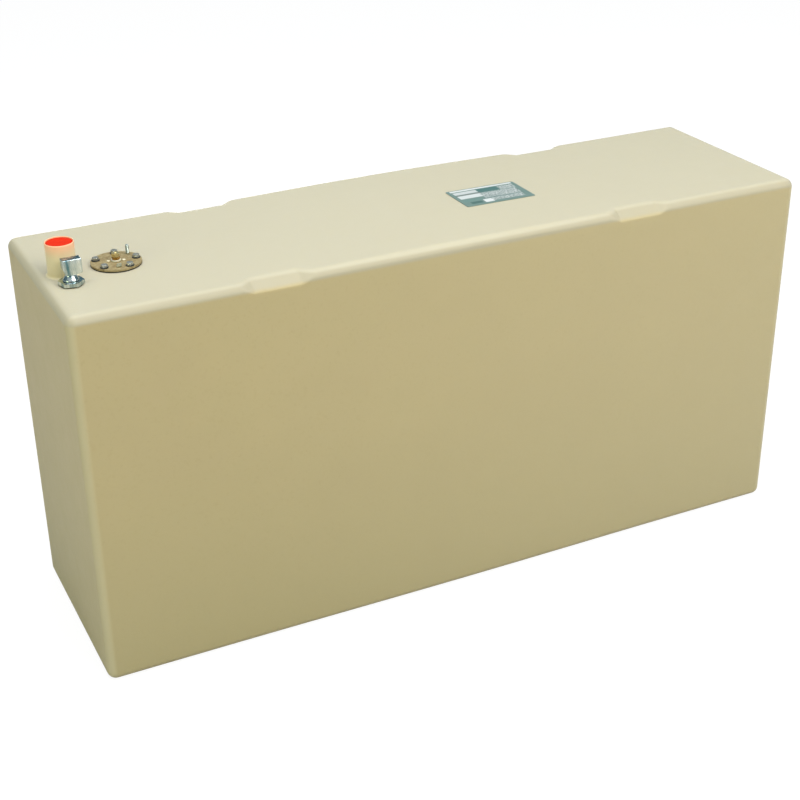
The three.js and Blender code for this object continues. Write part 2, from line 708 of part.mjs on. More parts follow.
function levelFloat() {
  const back = floatFront + FLOAT.length;
  const round = 3;
  const profile = [[ARM.wire + GAP, floatFront]];
  for (const [edge, from, centre] of [[floatFront, -90, 1], [back, 0, -1]]) {
    for (let i = 0; i <= 3; i += 1) {
      const angle = THREE.MathUtils.degToRad(from + 30 * i);
      profile.push([
        FLOAT.radius - round + round * Math.cos(angle),
        edge + centre * round + round * Math.sin(angle),
      ]);
    }
  }
  profile.push([ARM.wire + GAP, back], [ARM.wire + GAP, floatFront]);
  const geometry = new THREE.LatheGeometry(profile.map(([r, y]) => new THREE.Vector2(r, y)), 20);
  geometry.translate(floatPlace.x, 0, floatPlace.z);
  return solid(geometry);
}

// The lead from the resistor up to the terminal, held along the bracket.
function signalLead() {
  const x = SENDER.x;
  const y = depthOf(-17);
  const housingTop = PIVOT_HEIGHT + HOUSING.above;
  const studFoot = TOP - STUD.below;
  const route = new THREE.CatmullRomCurve3([
    new THREE.Vector3(x + 10, y, housingTop - 6),
    new THREE.Vector3(x + 10, y, housingTop + 20),
    new THREE.Vector3(x + 4, y + 2, housingTop + 60),
    new THREE.Vector3(x + 4, y + 2, studFoot - 60),
    new THREE.Vector3(x + 11, y + 4, studFoot - 28),
    new THREE.Vector3(x + 12, y + 12, studFoot - 14),
    new THREE.Vector3(x + 5, y + 17, studFoot - 7),
    new THREE.Vector3(x, y + 17, studFoot - 1.6),
  ]);
  return wire(route.getPoints(24), LEAD.radius);
}

// ---- Assembly ------------------------------------------------------------------------------------
const clipFront = depthOf(HUB.front) - GAP - CLIP.thick;
const tank = new THREE.Group();
tank.add(
  piece('tank_shell', tankShell(), polyethylene),
  piece('filler_neck', fillerNeck(), polyethylene),
  piece('fill_plug', fillPlug(), redPlastic),
  piece('label_plate', labelPlate(), labelFoil),
  piece('draw_insert', drawInsert(), brass),
  piece('draw_seal', drawSeal(), rubber),
  piece('draw_bushing', drawBushing(), zincPlate),
  piece('draw_elbow', drawElbow(), zincPlate),
  piece('dip_tube', dipTube(), aluminium),
  piece('dip_strainer', dipStrainer(), whitePlastic),
  piece('sender_gasket', senderGasket(), rubber),
  piece('sender_flange', senderFlange(), yellowZinc),
  piece('sender_mount_ring', senderMountRing(), steel),
  piece('terminal_bush', terminalBush(), whitePlastic),
  piece('terminal_insulator', terminalInsulator(), whitePlastic),
  piece('terminal_stud', terminalStud(), brass),
  piece('terminal_lower_nut', terminalNut(0), brass),
  piece('terminal_upper_nut', terminalNut(1), brass),
  piece('ground_stud', groundStud(), zincPlate),
  piece('ground_tab', groundTab(), zincPlate),
  piece('drop_bracket', dropBracket(), steel),
  piece('resistor_housing', resistorHousing(), blackPlastic),
  piece('resistor_cover', resistorCover(), blackPlastic),
  piece('resistor_card', resistorCard(), ceramicCard),
  piece('signal_lead', signalLead(), leadSleeve),
  piece('pivot_pin', pivotPin(), steel),
  piece('pivot_clip', pushClip(PIN.radius + GAP, clipFront, SENDER.x, PIVOT_HEIGHT), steel),
  piece('arm_hub', armHub(), whitePlastic),
  piece('wiper', wiper(), brass),
  piece('float_arm', floatArm(), steel),
  piece('float', levelFloat(), blackPlastic),
);
SCREW_ANGLES.forEach((degrees, i) => {
  tank.add(piece(`sender_screw_${i + 1}`, senderScrew(degrees), steel));
  tank.add(piece(`sender_washer_${i + 1}`, senderWasher(degrees), steel));
});
RIVETS.forEach((place, i) => {
  tank.add(piece(`bracket_rivet_${i + 1}`, bracketRivet(place), steel));
});
[floatFront - GAP - CLIP.thick, floatFront + FLOAT.length + GAP].forEach((front, i) => {
  const clip = pushClip(ARM.wire + GAP, front, floatPlace.x, floatPlace.z);
  tank.add(piece(`float_clip_${i + 1}`, clip, steel));
});

export default tank;
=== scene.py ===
# %% [markdown]
# # A moulded water tank with its filler, draw fitting and level sender
#
# The real thing is one hollow box of polyethylene, cast by turning a heated mould, with a few metal and
# plastic fittings grouped at one end of its top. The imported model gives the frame: where each part is,
# and what it moves with. The pieces made here stand in for the parts that show, in the same places.

# %% Load the frame
import json
import math

import bmesh
import bpy
from mathutils import Matrix, Vector, noise


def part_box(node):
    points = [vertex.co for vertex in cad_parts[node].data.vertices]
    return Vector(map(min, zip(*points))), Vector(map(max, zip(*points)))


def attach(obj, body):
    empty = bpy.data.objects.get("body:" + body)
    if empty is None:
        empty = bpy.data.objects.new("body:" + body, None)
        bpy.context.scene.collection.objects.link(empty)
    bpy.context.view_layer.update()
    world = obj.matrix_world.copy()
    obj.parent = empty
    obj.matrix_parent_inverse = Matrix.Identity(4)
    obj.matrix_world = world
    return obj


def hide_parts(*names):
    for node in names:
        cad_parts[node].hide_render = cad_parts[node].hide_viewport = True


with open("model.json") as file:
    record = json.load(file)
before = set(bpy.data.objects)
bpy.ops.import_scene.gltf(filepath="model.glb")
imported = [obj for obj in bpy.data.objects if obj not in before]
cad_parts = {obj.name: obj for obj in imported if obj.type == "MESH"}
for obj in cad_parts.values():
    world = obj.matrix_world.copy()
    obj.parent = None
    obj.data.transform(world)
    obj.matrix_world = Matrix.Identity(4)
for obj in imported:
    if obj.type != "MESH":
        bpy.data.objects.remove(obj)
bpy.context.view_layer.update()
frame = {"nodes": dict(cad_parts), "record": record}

# %% [markdown]
# ## Camera
#
# The tank is seen from its front left and from above, with a fairly long lens, so its long edges run
# nearly parallel. A camera is easiest to check when it is built as three turns: a heading round the
# vertical, a tilt down, and a small roll about its own line of sight.

# %% Set the camera
camera_data = bpy.data.cameras.new("tank_camera")
camera_data.lens = 67.0
camera_data.sensor_width = 36
camera_data.clip_end = 60
camera = bpy.data.objects.new("tank_camera", camera_data)
bpy.context.scene.collection.objects.link(camera)
heading = Matrix.Rotation(math.radians(-25.86), 4, "Z")
tilt = Matrix.Rotation(math.radians(90 - 27.32), 4, "X")
roll = Matrix.Rotation(math.radians(-0.689), 4, "Z")
camera.matrix_world = Matrix.Translation((-0.9046, -1.8029, 1.2754)) @ heading @ tilt @ roll
bpy.context.scene.camera = camera
print("camera looks along", [round(v, 3) for v in camera.matrix_world.to_3x3() @ Vector((0, 0, -1))])

# %% [markdown]
# ## Nodes and colours
#
# Every finish below is built from nodes, and the same three chores come back each time: turning a
# colour picked on screen into the linear values that light is worked out in, adding a node with its
# settings and links, and starting a material. Doing each in one place keeps the recipes short.


# %% Helpers for materials
def linear(code):
    """The linear RGBA of an sRGB hex colour."""
    channels = [int(code[i : i + 2], 16) / 255 for i in (1, 3, 5)]
    return [c / 12.92 if c <= 0.04045 else ((c + 0.055) / 1.055) ** 2.4 for c in channels] + [1]


def add(tree, kind, links=None, **settings):
    """Adds a node. settings are its properties, or its input values where the key names a socket."""
    node = tree.nodes.new(kind)
    for key, value in settings.items():
        if hasattr(node, key):
            setattr(node, key, value)
        else:
            node.inputs[key.replace("_", " ")].default_value = value
    for key, source in (links or {}).items():
        tree.links.new(source, node.inputs[key])
    return node


def new_material(name, **shader):
    """A material with those shader values. Returns it, its tree, its shader and object coordinates."""
    material = bpy.data.materials.new(name)
    material.use_nodes = True
    tree = material.node_tree
    surface = tree.nodes["Principled BSDF"]
    for key, value in shader.items():
        surface.inputs[key.replace("_", " ")].default_value = value
    place = add(tree, "ShaderNodeTexCoord").outputs["Object"]
    return material, tree, surface, place


MM = 0.001


def per_metre(millimetres):
    """The scale that gives a pattern features of that size."""
    return 1000 / millimetres


print("pale beige in linear values:", [round(v, 3) for v in linear("#dad4bc")])

# %% [markdown]
# ## Tank finish: rotomoulded polyethylene
#
# The powder melts onto a hot mould, so the skin is matt and very slightly pebbled, cloudy from place to
# place, and lets light in a few millimetres. Under soft light the low sheen of the skin whitens it
# where it is seen at a slant. Large soft noise gives the clouding, fine noise the pebble, and a thin
# subsurface share the waxy edges. Light and shade are also painted into the colour by place: the top
# is painted paler as the overhead light's sheen, the rounded edges under it are painted darker as
# shade, the upright corners carry a painted highlight, the far end a painted sheen, and the walls are
# painted darker towards the foot as shade. The neck is thin enough for the red plug to show through it
# as a blush, which is painted by the distance from the neck's axis and the height on it.

# %% Polyethylene
plug_low, plug_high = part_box("fill_plug")
neck_axis = (plug_low + plug_high) / 2
neck_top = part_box("filler_neck")[1].z
# The gasket lies 0.3 mm clear of the top.
skin_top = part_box("sender_gasket")[0].z - 0.0003
shell_low, shell_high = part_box("tank_shell")
corner_sum = shell_high.x + shell_high.y
# Where each mark starts and is full, in metres: out from the neck's axis, in from the upright corners,
# and down from the top.
NECK_START, NECK_FULL = 0.0225, 0.0195
CORNER_HIGHLIGHT_START, CORNER_HIGHLIGHT_FULL = 0.0155, 0.0075
EDGE_SHADE_START, EDGE_SHADE_FULL = 0.0135, 0.0085
TOP_SHEEN_START, TOP_SHEEN_FULL = 0.0035, 0.0002

polyethylene, tree, skin, place = new_material(
    "rotomoulded_polyethylene",
    IOR=1.51,
    Subsurface_Weight=0.12,
    Subsurface_Scale=0.006,
    Sheen_Weight=0.08,
    Sheen_Roughness=0.45,
    Specular_IOR_Level=0.25,
)
skin.inputs["Subsurface Radius"].default_value = (1.0, 0.75, 0.4)
skin.inputs["Sheen Tint"].default_value = linear("#fff6e8")
clouds = add(tree, "ShaderNodeTexNoise", {"Vector": place}, Scale=per_metre(170), Detail=2, Roughness=0.5)
patches = add(tree, "ShaderNodeTexNoise", {"Vector": place}, Scale=per_metre(46), Detail=3, Roughness=0.6)
specks = add(tree, "ShaderNodeTexNoise", {"Vector": place}, Scale=per_metre(5), Detail=2, Roughness=0.6)
cloud_range = add(tree, "ShaderNodeMapRange", {"Value": clouds.outputs["Fac"]}, From_Min=0.35, From_Max=0.65)
body_tone = add(tree, "ShaderNodeMix", {"Factor": cloud_range.outputs["Result"]}, data_type="RGBA")
body_tone.inputs[6].default_value = linear("#a19570")
body_tone.inputs[7].default_value = linear("#a39771")
patch_range = add(
    tree, "ShaderNodeMapRange", {"Value": patches.outputs["Fac"]}, From_Min=0.4, From_Max=0.7, To_Max=0.55,
)
patched = add(
    tree, "ShaderNodeMix", {"Factor": patch_range.outputs["Result"], 6: body_tone.outputs[2]},
    data_type="RGBA",
)
patched.inputs[7].default_value = linear("#a19670")
speck_range = add(
    tree, "ShaderNodeMapRange", {"Value": specks.outputs["Fac"]}, From_Min=0.55, From_Max=0.8, To_Max=0.35,
)
speckled = add(
    tree, "ShaderNodeMix", {"Factor": speck_range.outputs["Result"], 6: patched.outputs[2]}, data_type="RGBA",
)
speckled.inputs[7].default_value = linear("#968a62")
flat_place = add(tree, "ShaderNodeVectorMath", {0: place}, operation="MULTIPLY")
flat_place.inputs[1].default_value = (1, 1, 0)
from_axis = add(tree, "ShaderNodeVectorMath", {0: flat_place.outputs[0]}, operation="DISTANCE")
from_axis.inputs[1].default_value = (neck_axis.x, neck_axis.y, 0)
on_neck = add(
    tree, "ShaderNodeMapRange", {"Value": from_axis.outputs["Value"]},
    From_Min=NECK_START, From_Max=NECK_FULL,
)
height = add(tree, "ShaderNodeSeparateXYZ", {0: place})
# Painted shade: the walls are darkened and greened towards the foot, where less light reaches them.
lower_shade_share = add(
    tree, "ShaderNodeMapRange", {"Value": height.outputs["Z"]},
    interpolation_type="SMOOTHSTEP", From_Min=-0.1, From_Max=0.42, To_Min=0.75, To_Max=0.0,
)
lower_shaded = add(
    tree, "ShaderNodeMix", {"Factor": lower_shade_share.outputs["Result"], 6: speckled.outputs[2]}, data_type="RGBA",
)
lower_shaded.inputs[7].default_value = linear("#958e69")
# Painted sheen: towards the far end the walls are painted paler and greyer, standing in for the front light's
# sheen there.
far_sheen_share = add(
    tree, "ShaderNodeMapRange", {"Value": height.outputs["X"]}, From_Min=-0.35, From_Max=0.55, To_Max=0.6,
)
far_sheened = add(
    tree, "ShaderNodeMix", {"Factor": far_sheen_share.outputs["Result"], 6: lower_shaded.outputs[2]}, data_type="RGBA",
)
far_sheened.inputs[7].default_value = linear("#a69d7d")
# The rounded upright corners between the walls carry a painted highlight: they are painted paler. How far
# round a corner a point is comes from the sum of its distances from the tank's middle along both sides.
far_out = add(tree, "ShaderNodeVectorMath", {0: place}, operation="ABSOLUTE")
far_parts = add(tree, "ShaderNodeSeparateXYZ", {0: far_out.outputs[0]})
far_sum = add(tree, "ShaderNodeMath", {0: far_parts.outputs["X"], 1: far_parts.outputs["Y"]}, operation="ADD")
corner_highlight_share = add(
    tree, "ShaderNodeMapRange", {"Value": far_sum.outputs[0]},
    interpolation_type="SMOOTHSTEP",
    From_Min=corner_sum - CORNER_HIGHLIGHT_START, From_Max=corner_sum - CORNER_HIGHLIGHT_FULL, To_Max=0.7,
)
corner_highlighted = add(
    tree, "ShaderNodeMix", {"Factor": corner_highlight_share.outputs["Result"], 6: far_sheened.outputs[2]}, data_type="RGBA",
)
corner_highlighted.inputs[7].default_value = linear("#b3ad91")
# Painted shade: the rounded edges under the top, and the strap seats in them, are darkened and greyed, which
# tones down the light they catch.
edge_shade = add(
    tree, "ShaderNodeMapRange", {"Value": height.outputs["Z"]},
    interpolation_type="SMOOTHSTEP", From_Min=skin_top - EDGE_SHADE_START, From_Max=skin_top - EDGE_SHADE_FULL,
)
edge_shaded = add(
    tree, "ShaderNodeMix", {"Factor": edge_shade.outputs["Result"], 6: corner_highlighted.outputs[2]}, data_type="RGBA",
)
edge_shaded.inputs[7].default_value = linear("#9e9983")
# Painted sheen: the top is painted paler, standing in for the overhead light's sheen on it.
top_sheen = add(
    tree, "ShaderNodeMapRange", {"Value": height.outputs["Z"]},
    interpolation_type="SMOOTHSTEP", From_Min=skin_top - TOP_SHEEN_START, From_Max=skin_top - TOP_SHEEN_FULL,
)
top_sheened = add(
    tree, "ShaderNodeMix", {"Factor": top_sheen.outputs["Result"], 6: edge_shaded.outputs[2]}, data_type="RGBA",
)
top_sheened.inputs[7].default_value = linear("#a9a590")
# The neck has a thin wall, so it is paler, and the red plug shows through its upper half.
thin = add(
    tree, "ShaderNodeMix", {"Factor": on_neck.outputs["Result"], 6: top_sheened.outputs[2]}, data_type="RGBA",
)
thin.inputs[7].default_value = linear("#c8bd99")
blush = add(
    tree, "ShaderNodeMapRange", {"Value": height.outputs["Z"]},
    interpolation_type="SMOOTHSTEP", From_Min=neck_top - 0.02, From_Max=neck_top + 0.002,
)
blush_share = add(
    tree, "ShaderNodeMath", {0: on_neck.outputs["Result"], 1: blush.outputs["Result"]}, operation="MULTIPLY",
)
tinted = add(
    tree, "ShaderNodeMix", {"Factor": blush_share.outputs[0], 6: thin.outputs[2]}, data_type="RGBA",
)
tinted.inputs[7].default_value = linear("#e0ad8a")
tree.links.new(tinted.outputs[2], skin.inputs["Base Color"])
matt = add(tree, "ShaderNodeMapRange", {"Value": patches.outputs["Fac"]}, To_Min=0.44, To_Max=0.56)
tree.links.new(matt.outputs["Result"], skin.inputs["Roughness"])
# The real pebble is under 1 mm across, so it is drawn at 3 mm, the finest that shows.
pebble = add(tree, "ShaderNodeTexNoise", {"Vector": place}, Scale=per_metre(3), Detail=3, Roughness=0.65)
pebble_bump = add(tree, "ShaderNodeBump", {"Height": pebble.outputs["Fac"]}, Strength=0.25, Distance=0.0004)
shrink_bump = add(
    tree, "ShaderNodeBump", {"Height": patches.outputs["Fac"], "Normal": pebble_bump.outputs["Normal"]},
    Strength=0.5, Distance=0.0012,
)
tree.links.new(shrink_bump.outputs["Normal"], skin.inputs["Normal"])
print("made", polyethylene.name, "with", len(tree.nodes), "nodes")

# %% [markdown]
# ## Finishes of the fittings
#
# The rest are small parts in everyday finishes. Moulded plastics and rubber differ in colour, gloss and
# how coarse their skin is. Plated and bare metals differ in colour and in how even the plate is: bright
# zinc is nearly a mirror with soft waves from forging, while old yellow zinc has gone brown in blotches.
# The forging's zinc also has dark teal streaks painted in as reflection, and the washers are painted
# dark as shadow. Two recipes cover them, each fed with the values of the finish.


# %% Plastics and metals
def moulded(name, colour, worn, roughness, grain, relief, **shader):
    """A moulded plastic or rubber: two close tones, an uneven gloss, and a skin of that grain in mm."""
    material, tree, surface, place = new_material(name, **shader)
    tones = add(tree, "ShaderNodeTexNoise", {"Vector": place}, Scale=per_metre(9), Detail=4, Roughness=0.6)
    mixed = add(tree, "ShaderNodeMix", {"Factor": tones.outputs["Fac"]}, data_type="RGBA")
    mixed.inputs[6].default_value = linear(colour)
    mixed.inputs[7].default_value = linear(worn)
    tree.links.new(mixed.outputs[2], surface.inputs["Base Color"])
    gloss = add(
        tree, "ShaderNodeMapRange", {"Value": tones.outputs["Fac"]},
        To_Min=roughness - 0.08, To_Max=roughness + 0.08,
    )
    tree.links.new(gloss.outputs["Result"], surface.inputs["Roughness"])
    skin = add(tree, "ShaderNodeTexNoise", {"Vector": place}, Scale=per_metre(grain), Detail=2)
    bump = add(tree, "ShaderNodeBump", {"Height": skin.outputs["Fac"]}, Strength=0.3, Distance=relief * MM)
    tree.links.new(bump.outputs["Normal"], surface.inputs["Normal"])
    return material


def plated(name, bright, dull, blotch, roughness, spread, relief, metallic=1.0, drawn_out=1.0, shift=0.0):
    """A metal finish: blotches of that size in mm between a bright and a dull tone, the dull ones rougher.
    drawn_out makes them that many times taller than wide, and shift moves them along X by millimetres."""
    material, tree, surface, place = new_material(name, Metallic=metallic)
    squeezed = add(tree, "ShaderNodeVectorMath", {0: place}, operation="MULTIPLY_ADD")
    squeezed.inputs[1].default_value = (1, 1, 1 / drawn_out)
    squeezed.inputs[2].default_value = (shift * MM, 0, 0)
    blotches = add(
        tree, "ShaderNodeTexNoise", {"Vector": squeezed.outputs[0]},
        Scale=per_metre(blotch), Detail=5, Roughness=0.6,
    )
    amount = add(
        tree, "ShaderNodeMapRange", {"Value": blotches.outputs["Fac"]},
        From_Min=0.35, From_Max=0.68,
    )
    mixed = add(tree, "ShaderNodeMix", {"Factor": amount.outputs["Result"]}, data_type="RGBA")
    mixed.inputs[6].default_value = linear(bright)
    mixed.inputs[7].default_value = linear(dull)
    tree.links.new(mixed.outputs[2], surface.inputs["Base Color"])
    gloss = add(
        tree, "ShaderNodeMapRange", {"Value": amount.outputs["Result"]},
        To_Min=roughness, To_Max=roughness + spread,
    )
    tree.links.new(gloss.outputs["Result"], surface.inputs["Roughness"])
    waves = add(tree, "ShaderNodeTexNoise", {"Vector": place}, Scale=per_metre(2.2), Detail=2)
    bump = add(tree, "ShaderNodeBump", {"Height": waves.outputs["Fac"]}, Strength=0.4, Distance=relief * MM)
    tree.links.new(bump.outputs["Normal"], surface.inputs["Normal"])
    return material


red_cap = moulded(
    "red_ldpe", "#bd240e", "#c62c15", 0.55, 1.2, 0.12,
    IOR=1.51, Subsurface_Weight=0.1, Specular_IOR_Level=0.05,
)
black_rubber = moulded("nitrile_rubber", "#1f1d1a", "#2b2924", 0.7, 0.8, 0.12, IOR=1.52)
white_nylon = moulded("natural_nylon", "#cfc8b2", "#bfb8a0", 0.45, 1.5, 0.08, IOR=1.53, Subsurface_Weight=0.1)
black_acetal = moulded("black_acetal", "#17181a", "#232427", 0.4, 1.0, 0.1, IOR=1.48)
black_foam = moulded("closed_cell_foam", "#1b1b1c", "#2c2c2d", 0.8, 0.9, 0.35, IOR=1.45)
ceramic = moulded("resistor_ceramic", "#dcd8cb", "#c9c4b4", 0.5, 0.7, 0.05, IOR=1.6)
lead_sleeve = moulded("pvc_sleeve", "#b93226", "#a52b20", 0.5, 0.8, 0.05, IOR=1.53)
# Painted reflection: the forging's dull tone is a dark teal, drawn out into tall streaks and shifted along X,
# standing in for the dark band of the room seen in the zinc.
zinc_with_painted_reflection = plated("zinc_forging_painted_reflection", "#dde3e2", "#5f858f", 5.5, 0.15, 0.1, 0.03, drawn_out=6, shift=14)
post_zinc = plated("zinc_plated_post", "#c3cdc6", "#9dada8", 3, 0.34, 0.12, 0.03)
screw_zinc = plated("zinc_plated_screws", "#b2b4ab", "#777a72", 2.5, 0.32, 0.15, 0.04, metallic=0.75)
# The washers are painted dark grey: painted shadow from the screw heads above them.
washer_shadow_zinc = plated("washers_painted_shadow", "#5f6466", "#404547", 2.5, 0.4, 0.15, 0.04)
rivet_zinc = plated("rivet_heads", "#ddd6b8", "#b3aa88", 2.5, 0.45, 0.15, 0.03, metallic=0.5)
old_yellow_zinc = plated("yellow_zinc_flange", "#a1946c", "#806f4a", 5, 0.5, 0.2, 0.05, metallic=0.4)
bare_brass = plated("turned_brass", "#e6dba8", "#bfa566", 2.2, 0.3, 0.16, 0.03)
aged_brass = plated("aged_brass", "#c39a55", "#8d6b36", 2.2, 0.3, 0.16, 0.03)
bare_steel = plated("rolled_steel", "#a9abab", "#868889", 12, 0.32, 0.15, 0.03)
drawn_aluminium = plated("drawn_aluminium", "#c4c6c6", "#a9abab", 15, 0.3, 0.12, 0.02)
print("made", len(bpy.data.materials), "materials so far, with the frame's own")

# %% [markdown]
# ## Modelling helpers
#
# Pieces are modelled in millimetres, which keeps the numbers readable, and are scaled to metres in
# their mesh when they are done, so that every object stays at the origin. Turned parts are a profile
# spun round an axis. Holes and joined shapes come from Boolean modifiers, applied at once. Last, a
# small bevel breaks the sharp edges and weighted normals keep flat faces flat beside it.


# %% Helpers for pieces
def turned(profile, steps=48, closed=False):
    """Spins a profile of (radius, height) corners round the vertical axis. closed joins its two ends."""
    shape = bmesh.new()
    corners = [shape.verts.new((radius, 0, level)) for radius, level in profile]
    for near, far in zip(corners, corners[1:]):
        shape.edges.new((near, far))
    if closed:
        shape.edges.new((corners[-1], corners[0]))
    bmesh.ops.spin(
        shape, geom=shape.verts[:] + shape.edges[:], cent=(0, 0, 0), axis=(0, 0, 1),
        angle=2 * math.pi, steps=steps, use_merge=True,
    )
    bmesh.ops.remove_doubles(shape, verts=shape.verts, dist=0.0005)
    bmesh.ops.dissolve_degenerate(shape, dist=0.0005, edges=shape.edges)
    bmesh.ops.recalc_face_normals(shape, faces=shape.faces)
    return shape


def rod(radius, low, high, steps=48):
    return turned([(0, low), (radius, low), (radius, high), (0, high)], steps)


def ring(inner, outer, low, high, steps=64):
    return turned([(inner, low), (outer, low), (outer, high), (inner, high)], steps, closed=True)


def moved(shape, x=0.0, y=0.0, z=0.0, turn=0.0):
    """Turns a shape about the vertical axis by degrees, and then moves it."""
    about = Matrix.Rotation(math.radians(turn), 3, "Z")
    bmesh.ops.rotate(shape, verts=shape.verts, cent=(0, 0, 0), matrix=about)
    bmesh.ops.translate(shape, verts=shape.verts, vec=(x, y, z))
    return shape


def laid_along(shape, axis):
    """Lays an upright shape down so that its top points along X or Y."""
    about = {"X": Matrix.Rotation(math.pi / 2, 3, "Y"), "Y": Matrix.Rotation(-math.pi / 2, 3, "X")}
    bmesh.ops.rotate(shape, verts=shape.verts, cent=(0, 0, 0), matrix=about[axis])
    return shape


def threaded(radius, low, high, pitch, depth, per_turn=24):
    """A real screw thread: one V of it climbs a helix, and its ends are cut off square and closed."""
    shape = bmesh.new()
    start = low - 1.5 * pitch
    foot = shape.verts.new((radius - depth, 0, start))
    crest = shape.verts.new((radius, 0, start + pitch / 2))
    head = shape.verts.new((radius - depth, 0, start + pitch))
    shape.edges.new((foot, crest))
    shape.edges.new((crest, head))
    turns = math.ceil((high - low) / pitch) + 3
    bmesh.ops.spin(
        shape, geom=shape.verts[:] + shape.edges[:], cent=(0, 0, 0), axis=(0, 0, 1),
        dvec=(0, 0, pitch / per_turn), angle=2 * math.pi * turns, steps=per_turn * turns, use_merge=False,
    )
    bmesh.ops.remove_doubles(shape, verts=shape.verts, dist=0.001)
    for level, outward in ((low, -1), (high, 1)):
        bmesh.ops.bisect_plane(
            shape, geom=shape.verts[:] + shape.edges[:] + shape.faces[:],
            plane_co=(0, 0, level), plane_no=(0, 0, outward), clear_outer=True,
        )
    bmesh.ops.holes_fill(shape, edges=shape.edges[:], sides=0)
    bmesh.ops.recalc_face_normals(shape, faces=shape.faces)
    return shape


def as_object(name, shape):
    mesh = bpy.data.meshes.new(name)
    shape.to_mesh(mesh)
    shape.free()
    made = bpy.data.objects.new(name, mesh)
    bpy.context.scene.collection.objects.link(made)
    return made


def settle(piece):
    """Turns a piece's modifiers into plain mesh."""
    graph = bpy.context.evaluated_depsgraph_get()
    shaped = bpy.data.meshes.new_from_object(piece.evaluated_get(graph), depsgraph=graph)
    piece.modifiers.clear()
    rough = piece.data
    piece.data = shaped
    bpy.data.meshes.remove(rough)
    return piece


def carve(piece, tool, operation="DIFFERENCE"):
    """Takes a shape out of a piece, or joins it on with UNION, or keeps only what they share."""
    cutter = as_object("cutter", tool)
    step = piece.modifiers.new("cut", "BOOLEAN")
    step.operation = operation
    step.solver = "EXACT"
    step.object = cutter
    settle(piece)
    mesh = cutter.data
    bpy.data.objects.remove(cutter)
    bpy.data.meshes.remove(mesh)
    return piece


def dress(piece, edge=0.3, segments=2, crease=35):
    """Breaks sharp edges by that many millimetres, shades it smooth, and scales it to metres."""
    if edge:
        step = piece.modifiers.new("broken_edges", "BEVEL")
        step.width = edge
        step.segments = segments
        step.limit_method = "ANGLE"
        step.angle_limit = math.radians(crease)
        settle(piece)
    piece.data.shade_smooth()
    piece.data.set_sharp_from_angle(angle=math.radians(crease))
    step = piece.modifiers.new("flat_faces", "WEIGHTED_NORMAL")
    step.keep_sharp = True
    settle(piece)
    piece.data.transform(Matrix.Scale(MM, 4))
    return piece


def fit(piece, body, finish, slot, *nodes):
    """Gives a finished piece its material, its body and the parts that it stands for. slot is not used."""
    piece.data.materials.clear()
    piece.data.materials.append(finish)
    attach(piece, body)
    if nodes:
        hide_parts(*nodes)
    piece.data.calc_loop_triangles()
    print(f"{piece.name}: {len(piece.data.loop_triangles)} triangles, rides {body}")
    return piece


def hexagon(corner, low, high, chamfer=0.8, both_ends=False):
    """A six-sided prism whose end corners are turned off to a cone, as on any nut or screw head."""
    prism = bmesh.new()
    bmesh.ops.create_cone(
        prism, cap_ends=True, segments=6, radius1=corner, radius2=corner, depth=high - low,
    )
    bmesh.ops.translate(prism, verts=prism.verts, vec=(0, 0, (low + high) / 2))
    flat = corner * math.cos(math.pi / 6) - 0.1
    past = corner + 0.5
    foot = [(0, low), (flat, low), (past, low + chamfer)] if both_ends else [(0, low), (past, low)]
    blank = turned(foot + [(past, high - chamfer), (flat, high), (0, high)])
    return carve(as_object("hexagon", prism), blank, "INTERSECT")


def drawn_out(shape, grown, vec):
    """Moves the corners that an extrusion has just made."""
    fresh = [item for item in grown["geom"] if isinstance(item, bmesh.types.BMVert)]
    bmesh.ops.translate(shape, verts=fresh, vec=vec)


def blunted(piece, low, high, *cone):
    """Turns the top of an upright threaded rod down to a blunt cone of (radius, drop) corners."""
    blank = [(0, low - 1), (5, low - 1), (5, high - 3)] + [(radius, high - drop) for radius, drop in cone]
    return carve(piece, turned(blank + [(0, high)]), "INTERSECT")


def stood_at(piece, x, y, turn=0.0):
    """Turns a piece about its upright axis by degrees, and stands it at that place."""
    piece.data.transform(Matrix.Translation((x, y, 0)) @ Matrix.Rotation(math.radians(turn), 4, "Z"))
    return piece


def middle(node):
    """The middle of a part's plan, and its lowest and highest levels, in millimetres."""
    low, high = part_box(node)
    return (low.x + high.x) / MM / 2, (low.y + high.y) / MM / 2, low.z / MM, high.z / MM


print("sender middle in mm:", [round(v, 1) for v in middle("sender_flange")])

# %% [markdown]
# ## The tank
#
# The shell is a long box with every edge rounded, and its middle swells a little because the faces
# cool against air. Four shallow seats for hold-down straps are pressed across the long top edges. A
# cube with all its edges bevelled gives the form. Cutting it across at many stations then gives the
# mesh the vertices it needs, and each vertex is moved: outward by the swell, and inward to a sloping
# plane at each seat, with a soft limit so that the seat has no hard edge. The same form, a wall
# thickness smaller and turned inside out, makes the hollow.

# %% Tank dimensions
BULGE, RISE, SWELL_REACH = 2.0, 3.0, 390.0
LENGTH = (shell_high.x - shell_low.x) / MM
WIDTH = (shell_high.y - shell_low.y) / MM - 2 * BULGE
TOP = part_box("sender_gasket")[0].z / MM - 0.3
WALL = 7.0
EDGE_ROUND = 13.0
seats = [mount for mount in frame["record"]["mounts"] if mount["name"].startswith("strap_seat")]
SEAT_CENTRES = sorted({round(mount["pos_m"][0] / MM) for mount in seats})
SEAT_FLOOR, SEAT_MOUTH, SEAT_DEPTH = 66.0, 94.0, 6.4
SEAT_BACK, SEAT_DOWN = 21.0, 13.5
print("tank", LENGTH, "x", WIDTH, "x", round(TOP, 2), "mm, strap seats at", SEAT_CENTRES)


# %% Tank form
def swell(x):
    """How much of the swell is reached at x: 1 in the middle of the tank and 0 near its ends."""
    return math.cos(math.pi / 2 * x / SWELL_REACH) ** 2 if abs(x) < SWELL_REACH else 0.0


def soft_least(a, b, blend=3.2):
    """The lesser of two distances, rounded off where they cross."""
    near = max(blend - abs(a - b), 0) / blend
    return min(a, b) - near * near * blend / 4


def swollen(point):
    amount = swell(point.x)
    point.y *= 1 + 2 * BULGE * amount / WIDTH
    point.z *= 1 + RISE * amount / TOP


